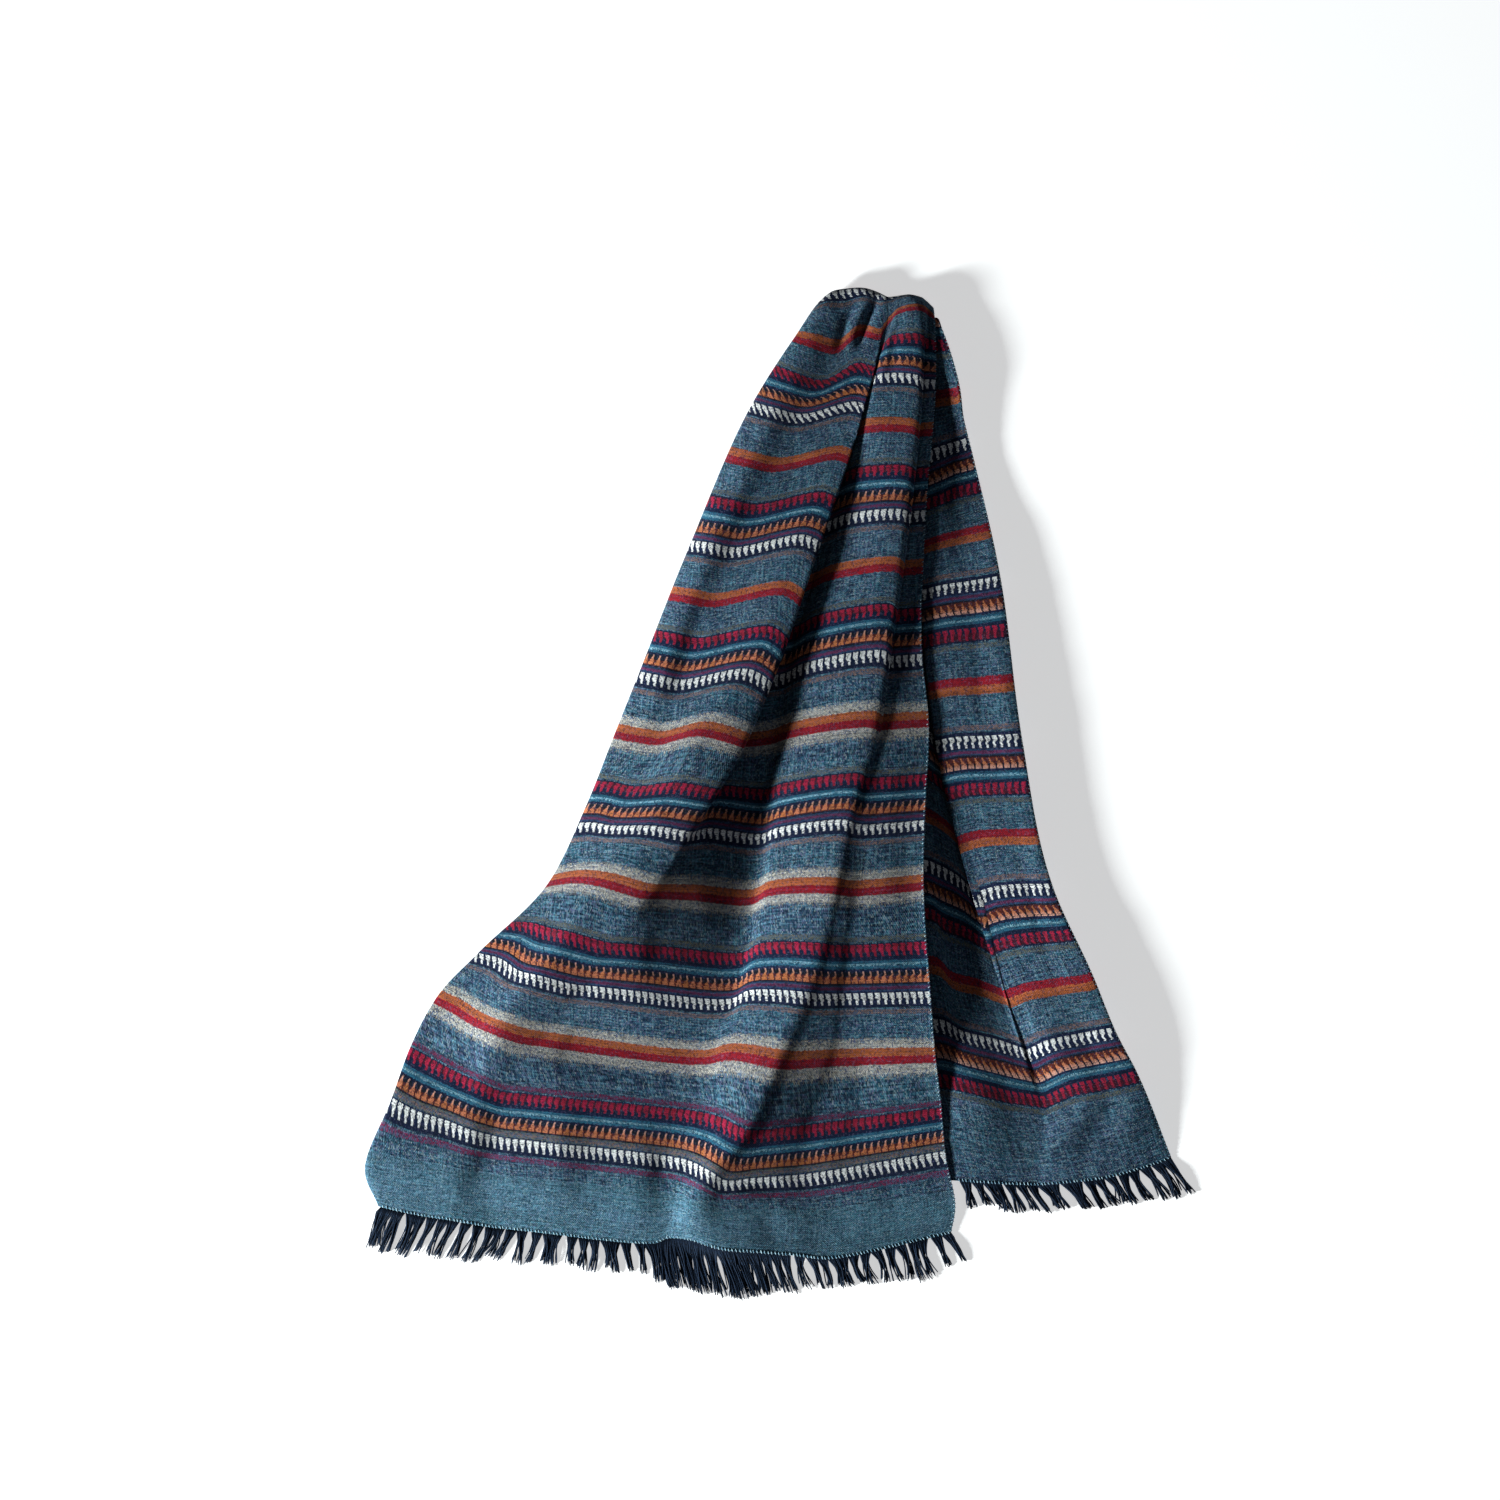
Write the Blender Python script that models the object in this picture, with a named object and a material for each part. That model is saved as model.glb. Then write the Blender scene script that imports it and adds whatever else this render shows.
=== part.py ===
"""A brocade scarf, gathered across its middle and laid out flat, as closed solids in metres with +Z up.

The scarf lies on a surface at Z = 0. Its front fall runs from the pinch (+Y) to the hem (-Y), its back fall
comes out from under it to the right (+X), and both hems end in a fringe. The origin is under the middle of
the box.

Places are read off a laying plan in millimetres: "across" runs to the right, "down" runs from the pinch to
the hems, and PLAN_CENTRE is the point of the plan that lies on the origin. "cloth" is a length of cloth above
the hem.
"""

import math

import bmesh
import bpy
from mathutils import Vector

MM = 0.001
PLAN_CENTRE = (781.0, 791.5)

CLOTH_THICKNESS = 2.0
SEAM_GAP = 0.3
FLOOR_LAYER = CLOTH_THICKNESS / 2  # middle of a layer of cloth that lies on the surface

NAVY = (0.030, 0.045, 0.075)
DENIM = (0.085, 0.170, 0.235)

# Front fall: the fold lines from left to right, and a section for each length of cloth above the hem.
# Each section gives how far the pipe and the ridge hang over, then across, down and height at each fold.
FRONT_FOLDS = ("left", "rib", "dip", "pipe", "edge", "floor", "foot", "slope", "ridge", "lip", "strip",
               "selvage")
FRONT_SECTIONS = (
    dict(cloth=0, pipe_over=0, ridge_over=0,
         across=(379, 400, 436, 462, 490, 530, 655, 668, 690, 720, 830, 951),
         down=(1206, 1211, 1218, 1222, 1227, 1231, 1243, 1238, 1239, 1248, 1258, 1233),
         height=(4, 7, 2, 3.5, 1.5, 2.5, 1.5, 4.5, 5, 2.5, 2.5, 2)),
    dict(cloth=42, pipe_over=0, ridge_over=0,
         across=(366, 388, 430, 458, 488, 528, 662, 680, 698, 722, 812, 955),
         down=(1165, 1170, 1177, 1181, 1185, 1190, 1203, 1203, 1208, 1217, 1221, 1202),
         height=(4.5, 8, 3, 5, 2.5, 3, 4, 8, 8, 5, 5, 4.5)),
    dict(cloth=83, pipe_over=0, ridge_over=0,
         across=(390, 412, 446, 468, 490, 530, 672, 690, 705, 726, 805, 946),
         down=(1104, 1116, 1128, 1134, 1141, 1147, 1161, 1165, 1172, 1185, 1180, 1157),
         height=(5, 8.5, 4.5, 6, 3, 4, 6, 10, 12, 5, 5, 5)),
    dict(cloth=193, pipe_over=0, ridge_over=0,
         across=(437, 455, 475, 495, 512, 545, 708, 716, 742, 778, 850, 935),
         down=(998, 1006, 1018, 1029, 1037, 1040, 1060, 1052, 1054, 1062, 1058, 1056),
         height=(6, 12, 9, 10, 4, 7, 5, 13, 18, 7, 6, 8)),
    dict(cloth=365, pipe_over=0, ridge_over=0,
         across=(549, 560, 575, 592, 642, 658, 741, 751, 808, 840, 880, 923),
         down=(884, 880, 877, 880, 895, 890, 899, 891, 882, 891, 887, 884),
         height=(7, 16, 22, 23, 9, 9, 5, 14, 27, 13, 9, 10)),
    dict(cloth=450, pipe_over=4, ridge_over=2,
         across=(586, 600, 620, 646, 697, 709, 746, 758, 824, 853, 888, 925),
         down=(808, 808, 812, 810, 816, 812, 818, 812, 802, 809, 806, 804),
         height=(8, 18, 18, 30, 16, 8, 6, 15, 30, 17, 10, 10)),
    dict(cloth=537, pipe_over=16, ridge_over=5,
         across=(616, 636, 660, 690, 742, 752, 768, 788, 855, 877, 900, 928),
         down=(733, 737, 740, 730, 743, 741, 738, 732, 721, 727, 722, 721),
         height=(8, 20, 13, 35, 23, 7, 7, 15, 32, 20, 10, 11)),
    dict(cloth=598, pipe_over=20, ridge_over=6,
         across=(638, 655, 696, 728, 767, 780, 787, 802, 862, 884, 903, 922),
         down=(678, 682, 688, 676, 690, 681, 679, 671, 657, 664, 662, 661),
         height=(8, 21, 12, 37, 24, 8, 8, 17, 33, 21, 10, 11)),
    dict(cloth=750, pipe_over=22, ridge_over=7,
         across=(690, 706, 753, 790, 816, 828, 833, 846, 878, 906, 914, 925),
         down=(547, 550, 557, 541, 550, 528, 526, 521, 515, 524, 518, 517),
         height=(9, 24, 13, 39, 25, 9, 10, 19, 33, 21, 11, 12)),
    dict(cloth=902, pipe_over=20, ridge_over=8,
         across=(751, 772, 812, 843, 862, 870, 873, 880, 897, 921, 927, 935),
         down=(408, 414, 424, 406, 411, 384, 382, 380, 378, 387, 386, 386),
         height=(10, 26, 15, 37, 24, 11, 12, 20, 32, 21, 12, 12)),
    dict(cloth=1000, pipe_over=0, ridge_over=0, hang=(0.3, 0, -3),
         across=(796, 808, 842, 861, 880, 888, 892, 898, 909, 923, 929, 934),
         down=(337, 341, 346, 331, 336, 322, 318, 312, 308, 310, 314, 318),
         height=(11, 25, 17, 33, 23, 14, 14, 21, 29, 22, 16, 15)),
    dict(cloth=1054, pipe_over=0, ridge_over=0, hang=(0.6, -1, -2),
         across=(820, 830, 846, 864, 880, 887, 892, 899, 909, 921, 926, 931),
         down=(303, 294, 291, 290, 295, 298, 298, 297, 296, 299, 303, 308),
         height=(9, 12, 11, 14, 12, 11, 11, 12, 13, 11, 10, 9)),
)
PINCH_TURN_UNDER = 18.0  # how far the cloth goes back under itself at the pinch
PINCH_TURN_LENGTH = 54.0  # length of cloth in that turn
PINCH_EDGE = Vector((-1.6, -0.6, 0.6))  # step from fold line to fold line at its left edge
SELVAGE_TURN_UNDER = 24.0  # how much of the left side is folded under the front fall
SELVAGE_TURN_ENDS = (800.0, 1000.0)  # that turn narrows to a roll between these lengths of cloth
FULL_TUCK = 12.0  # a fold that hangs over this much or more has its full S shape

# Back fall, whose left half lies hidden under the front fall.
BACK_FOLDS = ("hidden", "under", "swell", "slope", "hollow", "edge", "pipe", "face", "rim", "selvage")
BACK_SECTIONS = (
    dict(cloth=0, pipe_over=0,
         across=(700, 840, 945, 975, 1005, 1035, 1062, 1110, 1166, 1171),
         down=(1192, 1186, 1180, 1182, 1184, 1185, 1183, 1177, 1160, 1157),
         height=(1, 1, 1, 1, 1, 1.5, 3, 2, 1, 1)),
    dict(cloth=92, pipe_over=0,
         across=(722, 845, 938, 965, 1000, 1033, 1068, 1098, 1132, 1136),
         down=(1095, 1085, 1077, 1083, 1093, 1100, 1087, 1081, 1074, 1072),
         height=(1, 1, 3, 2.5, 1, 2.5, 8, 6, 1, 1)),
    dict(cloth=192, pipe_over=8,
         across=(740, 850, 925, 950, 975, 999, 1022, 1055, 1089, 1093),
         down=(985, 975, 965, 980, 987, 999, 991, 986, 980, 978),
         height=(1, 1, 5, 3, 1, 8, 14, 11, 1.5, 1)),
    dict(cloth=290, pipe_over=14,
         across=(756, 852, 920, 938, 955, 966, 990, 1020, 1048, 1052),
         down=(888, 880, 865, 870, 880, 901, 893, 889, 888, 887),
         height=(1, 1, 5, 3, 1, 10, 17, 13, 2, 1)),
    dict(cloth=442, pipe_over=15,
         across=(785, 862, 905, 915, 924, 935, 955, 985, 1017, 1021),
         down=(738, 733, 722, 726, 732, 746, 742, 741, 739, 739),
         height=(1, 1, 4, 2.5, 1, 9, 15, 12, 3, 1)),
    dict(cloth=594, pipe_over=10,
         across=(812, 868, 890, 900, 909, 920, 942, 970, 996, 1000),
         down=(592, 590, 586, 588, 591, 596, 590, 586, 581, 580),
         height=(1, 1, 1.5, 1.5, 1, 8.5, 11, 9, 3, 1)),
    dict(cloth=746, pipe_over=0,
         across=(840, 880, 897, 905, 911, 920, 938, 951, 961, 969),
         down=(462, 460, 457, 458, 459, 460, 454, 449, 444, 442),
         height=(1, 1, 1, 1, 1, 5, 7, 5, 2.5, 1.5)),
    dict(cloth=772, pipe_over=0,
         across=(845, 882, 897, 905, 912, 919, 935, 949, 960, 963),
         down=(434, 432, 430, 430, 430, 431, 427, 424, 420, 418),
         height=(1, 1, 1, 1, 1, 3, 5, 3, 3, 10)),
    dict(cloth=800, pipe_over=0,
         across=(850, 884, 898, 905, 911, 918, 932, 946, 959, 949),
         down=(405, 404, 403, 402, 401, 401, 400, 398, 396, 390),
         height=(1, 1, 1, 1, 1, 1.5, 3, 2.5, 4.5, 8)),
    dict(cloth=840, pipe_over=0,
         across=(862, 888, 900, 906, 911, 917, 927, 938, 950, 940),
         down=(360, 360, 359, 359, 358, 357, 356, 355, 355, 353),
         height=(1, 1, 1, 1, 1, 1, 1.5, 1.5, 4.5, 8)),
    dict(cloth=880, pipe_over=0,
         across=(874, 892, 901, 906, 910, 914, 922, 931, 941, 936),
         down=(327, 327, 326, 326, 325, 325, 322, 318, 313, 315),
         height=(1, 1, 1, 1, 1, 1, 1, 1.5, 4, 6.5)),
)
BACK_TUCK_RADIUS = 2.0

# Fringe: where a lock of yarn leaves the hem, and where its tip lies.
FRONT_TIPS = dict(
    root=(379, 400, 450, 500, 560, 632, 655, 690, 718, 755, 813, 870, 905, 933, 951),
    across=(366, 390, 443, 496, 560, 632, 653, 690, 719, 757, 816, 875, 913, 947, 967),
    down=(1244, 1249, 1256, 1259, 1266, 1270, 1281, 1288, 1294, 1291, 1287, 1283, 1279, 1271, 1257))
BACK_TIPS = dict(
    root=(957, 980, 1010, 1050, 1066, 1097, 1115, 1145, 1160, 1171),
    across=(966, 990, 1020, 1062, 1078, 1110, 1130, 1163, 1184, 1197),
    down=(1205, 1207, 1212, 1206, 1210, 1204, 1202, 1201, 1196, 1187))
FRONT_STRANDS = 96
BACK_STRANDS = 36
BACKING_WIDTH = 3.0
BACKING_GAP = 0.6  # enough for a straight backing segment to clear a bend of the hem
STRAND_FILL = 0.72  # share of the backing that strands spring from
STRAND_TIP_WIDTH = 1.6
STRAND_TIP_THICKNESS = 1.0
STRAND_CLEARANCE = 0.2  # strands lie this far above the surface

# Hidden layers under the front fall, as one solid.
CORE_CLOTH = (430.0, 980.0)
CORE_TAPER = 90.0  # length over which the solid rises from its lower end to its full height
CORE_BASE = CLOTH_THICKNESS + 2 * SEAM_GAP
CORE_THIN = CORE_BASE + 1.2  # its top where only thin layers run, between the folds
CORE_EDGE = 0.8
CORE_INSET = 12.0  # how far inside the fold lines it keeps
CORE_HEADROOM = 3.0


def placed(across, down, height):
    """A point of the laying plan, in millimetres from the origin."""
    return Vector((across - PLAN_CENTRE[0], PLAN_CENTRE[1] - down, height))


def mixed(first, second, share):
    return first + (second - first) * share


def ramp(start, end, value):
    """0 before the start, 1 after the end, and an even rise between them."""
    return min(max((value - start) / (end - start), 0.0), 1.0)


def tangent(knots, values, i):
    """Direction of a smooth curve at one of its points (Catmull-Rom with uneven knots)."""
    if i == 0:
        return (values[1] - values[0]) / (knots[1] - knots[0])
    if i == len(knots) - 1:
        return (values[-1] - values[-2]) / (knots[-1] - knots[-2])
    before, after = knots[i] - knots[i - 1], knots[i + 1] - knots[i]
    return ((values[i] - values[i - 1]) / before - (values[i + 1] - values[i - 1]) / (before + after)
            + (values[i + 1] - values[i]) / after)


def on_curve(knots, values, i, share):
    """The point this share of the way from knot i to the next, on a smooth curve through the values."""
    reach = knots[i + 1] - knots[i]
    start, end = tangent(knots, values, i) * reach, tangent(knots, values, i + 1) * reach
    s2, s3 = share * share, share ** 3
    return (values[i] * (2 * s3 - 3 * s2 + 1) + start * (s3 - 2 * s2 + share)
            + values[i + 1] * (3 * s2 - 2 * s3) + end * (s3 - s2))


def curve_through(knots, values, steps):
    """Points of a smooth curve through the values, with a number of steps for each span."""
    points = [on_curve(knots, values, i, k / count) for i, count in enumerate(steps) for k in range(count)]
    return points + [values[-1]]


def across_knots(points):
    """Knots spaced by the square root of each chord, which keeps a curve from looping at close points."""
    knots = [0.0]
    for a, b in zip(points, points[1:]):
        knots.append(knots[-1] + math.sqrt((b - a).length))
    return knots


def front_profile(section):
    """Control points across the front fall, from the end of its turned-under side to its selvage."""
    at = {fold: placed(*place) for fold, *place in
          zip(FRONT_FOLDS, section["across"], section["down"], section["height"])}
    left = at["left"]
    roll = left.z - FLOOR_LAYER
    spare = 1 - ramp(*SELVAGE_TURN_ENDS, section["cloth"])
    turned = [Vector((left.x + roll + 3 + SELVAGE_TURN_UNDER * spare, left.y, FLOOR_LAYER)),
              Vector((left.x + roll + 1, left.y, FLOOR_LAYER)),
              Vector((left.x + 0.3 * roll, left.y, FLOOR_LAYER + 0.25 * roll))]
    if "hang" in section:
        turned = [left + Vector(section["hang"]) * step for step in (3, 2, 1)]

    def tuck(edge, floor, over):
        """The two hidden points of an S fold, or points on the plain slope where nothing hangs over."""
        share = min(over / FULL_TUCK, 1.0)
        rise = edge.z - floor.z
        middle = Vector((edge.x - 0.5 * over, edge.y, floor.z + 0.52 * rise))
        turn = Vector((edge.x - over, mixed(edge.y, floor.y, 0.5), floor.z + 0.2 * rise))
        return mixed(mixed(edge, floor, 0.35), middle, share), mixed(mixed(edge, floor, 0.7), turn, share)

    pipe_tuck = tuck(at["edge"], at["floor"], section["pipe_over"])
    ridge_tuck = tuck(at["lip"], at["strip"], section["ridge_over"])
    return [*turned, left, at["rib"], at["dip"], at["pipe"], at["edge"], *pipe_tuck, at["floor"],
            at["foot"], at["slope"], at["ridge"], at["lip"], *ridge_tuck, at["strip"], at["selvage"]]


LONGEST_ROW = 36.0  # most cloth between two rows of a wall's grid
FRONT_STEPS = (1, 1, 2, 2, 3, 3, 3, 2, 2, 2, 2, 2, 3, 3, 2, 2, 2, 3)


def front_sections():
    """(length of cloth, control points) up the front fall, and the row that goes back under at the pinch."""
    rows = [(section["cloth"], front_profile(section)) for section in FRONT_SECTIONS]
    top = rows[-1][1]
    middle = (top[3].x + top[-1].x) / 2
    under = [Vector((mixed(p.x, middle, 0.12), p.y - PINCH_TURN_UNDER, FLOOR_LAYER)) for p in top]
    for step, point in enumerate(under[-6:], 1):
        point += Vector((-0.8, 1.0, 0.6)) * step
    under[:3] = [under[3] + PINCH_EDGE * step for step in (3, 2, 1)]
    return rows + [(rows[-1][0] + PINCH_TURN_LENGTH, under)]


def back_profile(section):
    """Control points across the back fall, from its hidden side to its selvage."""
    at = {fold: placed(*place) for fold, *place in
          zip(BACK_FOLDS, section["across"], section["down"], section["height"])}
    edge, hollow, over = at["edge"], at["hollow"], section["pipe_over"]
    share = min(over / FULL_TUCK, 1.0)
    foot = Vector((edge.x + 0.5 * over, edge.y, FLOOR_LAYER))
    turn = Vector((edge.x + over, edge.y, FLOOR_LAYER + BACK_TUCK_RADIUS))
    middle = Vector((edge.x + 0.5 * over, edge.y, FLOOR_LAYER + 2 * BACK_TUCK_RADIUS))
    tuck = [mixed(mixed(hollow, edge, plain), folded, share)
            for plain, folded in ((0.25, foot), (0.5, turn), (0.75, middle))]
    return [at["hidden"], at["under"], at["swell"], at["slope"], hollow, *tuck, edge, at["pipe"], at["face"],
            at["rim"], at["selvage"]]


BACK_STEPS = (2, 2, 2, 2, 2, 2, 2, 2, 2, 3, 3, 2)


def row_steps(sections, longest_step):
    """How many rows of the grid each span between two sections takes."""
    knots = [cloth for cloth, _ in sections]
    return [max(3, math.ceil((b - a) / longest_step)) for a, b in zip(knots, knots[1:])]


def cloth_grid(sections, across_steps, longest_step):
    """Middle points of a cloth wall: rows along the cloth, each a smooth curve across its folds."""
    knots = [cloth for cloth, _ in sections]
    steps = row_steps(sections, longest_step)
    columns = [curve_through(knots, fold, steps) for fold in zip(*(row for _, row in sections))]
    grid = []
    for row in zip(*columns):
        points = curve_through(across_knots(row), row, across_steps)
        grid.append([Vector((p.x, p.y, max(p.z, FLOOR_LAYER))) for p in points])
    return grid


def material(name, colour, roughness):
    """A Principled material."""
    made = bpy.data.materials.new(name)
    made.use_nodes = True
    shader = made.node_tree.nodes["Principled BSDF"]
    shader.inputs["Base Color"].default_value = (*colour, 1.0)
    shader.inputs["Roughness"].default_value = roughness
    shader.inputs["Metallic"].default_value = 0.0
    made.diffuse_color = (*colour, 1.0)
    return made


def add_object(name, mesh_source, finish):
    """An object from a bmesh whose points are in millimetres."""
    bmesh.ops.scale(mesh_source, vec=(MM, MM, MM), verts=mesh_source.verts)
    if all(edge.is_manifold for edge in mesh_source.edges):
        bmesh.ops.recalc_face_normals(mesh_source, faces=mesh_source.faces)
    mesh = bpy.data.meshes.new(name)
    mesh_source.to_mesh(mesh)
    mesh_source.free()
    mesh.materials.append(finish)
    made = bpy.data.objects.new(name, mesh)
    bpy.context.collection.objects.link(made)
    return made


def bent_grid(source, grid):
    """A grid of faces bent to rows of points. Its faces are returned."""
    columns = len(grid[0])
    made = bmesh.ops.create_grid(source, x_segments=columns - 1, y_segments=len(grid) - 1, size=1)
    for number, vertex in enumerate(made["verts"]):
        vertex.co = grid[number // columns][number % columns]
    return list(source.faces)


def cloth_wall(name, grid, finish):
    """A cloth wall on a grid of middle points: a bent grid with a Solidify of the cloth's thickness."""
    source = bmesh.new()
    bent_grid(source, grid)
    wall = add_object(name, source, finish)
    solid = wall.modifiers.new("Cloth thickness", "SOLIDIFY")
    solid.thickness = CLOTH_THICKNESS * MM
    solid.offset = 0.0
    return wall


def loft(source, rings):
    """Side faces through rings of equal count, with a cap at each end."""
    made = [[source.verts.new(point) for point in ring] for ring in rings]
    count = len(made[0])
    for ring, following in zip(made, made[1:]):
        for k in range(count):
            source.faces.new((ring[k], ring[(k + 1) % count], following[(k + 1) % count], following[k]))
    for cap in (made[0], made[-1]):
        bmesh.ops.triangulate(source, faces=[source.faces.new(cap)])


def along(points, share):
    """The point this share of the way along a run of points, and the direction there."""
    lengths = [(b - a).length for a, b in zip(points, points[1:])]
    left_over = share * sum(lengths)
    for start, end, length in zip(points, points[1:], lengths):
        if left_over <= length or end is points[-1]:
            return mixed(start, end, min(left_over / length, 1.0)), (end - start).normalized()
        left_over -= length


def table_value(places, values, place):
    """A value read between the entries of a table."""
    for a, b, low, high in zip(places, places[1:], values, values[1:]):
        if place <= b or b == places[-1]:
            return mixed(low, high, (place - a) / (b - a))


def fringe(name, hem, tips, strands, finish):
    """A backing strip along the hem with tapered strands drawn out of its outer side."""
    source = bmesh.new()
    sections = []
    for strand in range(strands):
        middle = (strand + 0.5) / strands
        for side in (-0.5, 0.5):
            point, run = along(hem, middle + side * STRAND_FILL / strands)
            out = Vector((run.y, -run.x, 0)).normalized()
            inner, outer = point + out * BACKING_GAP, point + out * (BACKING_GAP + BACKING_WIDTH)
            low, high = max(point.z - FLOOR_LAYER, STRAND_CLEARANCE), point.z + FLOOR_LAYER
            sections.append([(inner.x, inner.y, low), (inner.x, inner.y, high),
                             (outer.x, outer.y, high), (outer.x, outer.y, low)])
    loft(source, sections)
    source.verts.ensure_lookup_table()
    corners = [vertex for vertex in source.verts]
    for strand in range(strands):
        root = [corners[8 * strand + k] for k in (3, 2, 6, 7)]
        face = next(f for f in root[0].link_faces if all(corner in f.verts for corner in root))
        middle, run = along(hem, (strand + 0.5) / strands)
        run.z = 0
        place = middle.x + PLAN_CENTRE[0]
        sway = math.sin(strand * 2.4) + 0.5 * math.sin(strand * 5.1)
        tip = placed(table_value(tips["root"], tips["across"], place) + 1.6 * sway,
                     table_value(tips["root"], tips["down"], place) + 1.5 * math.sin(strand * 3.7),
                     STRAND_CLEARANCE + STRAND_TIP_THICKNESS / 2)
        start = sum((corner.co for corner in root), Vector()) / 4
        width = (root[0].co - root[3].co).length
        thickness = (root[0].co - root[1].co).length
        for share in (0.5, 1.0):
            centre = mixed(start, tip, share)
            side = run * mixed(width, STRAND_TIP_WIDTH, share) / 2
            rise = Vector((0, 0, mixed(thickness, STRAND_TIP_THICKNESS, share) / 2))
            centre.z = max(centre.z - 0.6 * math.sin(math.pi * share), rise.z + STRAND_CLEARANCE)
            drawn = bmesh.ops.extrude_discrete_faces(source, faces=[face])["faces"][0]
            spots = [centre - side - rise, centre - side + rise, centre + side + rise, centre + side - rise]
            for corner, before in zip(drawn.verts, face_order(root, drawn)):
                corner.co = spots[before]
            root = [next(c for c in drawn.verts if (c.co - spot).length < 1e-6) for spot in spots]
            face = drawn
    return add_object(name, source, finish)


def face_order(root, drawn):
    """Which corner of the face before each corner of the drawn face sits on."""
    return [min(range(4), key=lambda k: (root[k].co - corner.co).length) for corner in drawn.verts]


def core_row(row, fullness):
    """Top points of the hidden layers at one row: a lobe in the pipe and one in the ridge, on thin layers."""
    starts = [sum(FRONT_STEPS[:k]) for k in range(len(FRONT_STEPS) + 1)]
    left, pipe, turn, floor, foot, ridge = (starts[k] for k in (3, 6, 9, 10, 11, 13))
    wall = min(row[turn].x, row[floor].x - CORE_INSET) - CORE_INSET / 2
    lobe = [Vector((p.x, p.y, p.z - CORE_HEADROOM)) for p in row[left + 2:pipe + 1]]
    lobe.insert(0, Vector((lobe[0].x - 4, lobe[0].y, CORE_THIN)))
    limit = wall - 1
    for k in range(len(lobe) - 1, -1, -1):
        if lobe[k].x > limit:
            lobe[k].z -= 1.6 * (lobe[k].x - limit)
            lobe[k].x = limit
        limit = min(lobe[k].x, limit) - 1
    thin = [Vector((x, row[k].y, CORE_THIN)) for x, k in
            ((wall, turn), (row[floor].x, floor), (row[foot].x + 2, foot))]
    rise = [Vector((p.x, p.y, p.z - CORE_HEADROOM)) for p in row[foot + 2:ridge + 1]]
    rise.append(Vector((row[ridge].x + 1, row[ridge].y, CORE_THIN)))
    top = [*lobe, *thin, *rise]
    return [Vector((p.x, p.y, max(mixed(CORE_BASE, p.z, fullness), CORE_BASE + CORE_EDGE))) for p in top]


def inner_folds(sections, grid, finish):
    """The hidden layers that hold up the front fall's folds, as one solid inside its wall."""
    knots = [cloth for cloth, _ in sections]
    lengths = curve_through(knots, knots, row_steps(sections, LONGEST_ROW))
    rows = [core_row(row, mixed(0.1, 1.0, ramp(CORE_CLOTH[0], CORE_CLOTH[0] + CORE_TAPER, length)))
            for length, row in zip(lengths, grid) if CORE_CLOTH[0] <= length <= CORE_CLOTH[1]]
    source = bmesh.new()
    top = bent_grid(source, rows)
    base = bmesh.ops.extrude_face_region(source, geom=top)["geom"]
    for vertex in base:
        if isinstance(vertex, bmesh.types.BMVert):
            vertex.co.z = CORE_BASE
    return add_object("inner_folds", source, finish)


def build():
    for old in list(bpy.data.objects):
        bpy.data.objects.remove(old, do_unlink=True)
    cloth = material("brocade", DENIM, 0.85)
    yarn = material("fringe yarn", NAVY, 0.9)

    sections = front_sections()
    front = cloth_grid(sections, FRONT_STEPS, LONGEST_ROW)
    back = cloth_grid([(section["cloth"], back_profile(section)) for section in BACK_SECTIONS], BACK_STEPS,
                      LONGEST_ROW)
    cloth_wall("front_fall", front, cloth)
    cloth_wall("back_fall", back, cloth)
    inner_folds(sections, front, cloth)

    fringe("front_fringe", front[0][sum(FRONT_STEPS[:3]) + 1:], FRONT_TIPS, FRONT_STRANDS, yarn)
    shown = [point for point in back[0] if point.x + PLAN_CENTRE[0] >= BACK_TIPS["root"][0]]
    fringe("back_fringe", shown, BACK_TIPS, BACK_STRANDS, yarn)


build()
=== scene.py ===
import math
import random
from functools import partial, reduce

import bmesh
import bpy
import numpy as np
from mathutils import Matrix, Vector, noise


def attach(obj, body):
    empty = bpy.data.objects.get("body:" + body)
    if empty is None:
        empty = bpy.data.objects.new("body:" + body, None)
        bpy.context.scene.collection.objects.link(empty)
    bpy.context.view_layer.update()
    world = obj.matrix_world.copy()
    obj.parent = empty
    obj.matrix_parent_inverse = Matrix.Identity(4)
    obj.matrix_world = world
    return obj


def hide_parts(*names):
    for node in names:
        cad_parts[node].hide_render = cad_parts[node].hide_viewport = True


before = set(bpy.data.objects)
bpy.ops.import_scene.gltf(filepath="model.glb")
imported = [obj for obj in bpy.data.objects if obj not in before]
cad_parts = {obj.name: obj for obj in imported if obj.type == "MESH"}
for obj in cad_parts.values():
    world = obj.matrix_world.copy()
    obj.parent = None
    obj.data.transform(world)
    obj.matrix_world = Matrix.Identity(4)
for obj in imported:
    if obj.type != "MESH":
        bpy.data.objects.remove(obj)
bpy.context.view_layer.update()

print("frame loaded")

# Places are read off a laying plan in millimetres: across runs to the right, down runs from the pinch to the
# hems, and the plan's centre lies on the origin.
plan = dict(across=781.0, down=791.5, millimetre=0.001)
scarf = dict(thickness=1.3, floorLayer=1.0, loft=1.15, cutWidth=700.0, cutLength=1952.0, fewestRows=6,
             fullTuck=12.0, sharpRim=math.radians(65), creaseEnds=(0.02, 0.98), creaseFade=0.7,
             fineRumple=0.4, fineSize=2.7)


# Shape of the cloth

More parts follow.
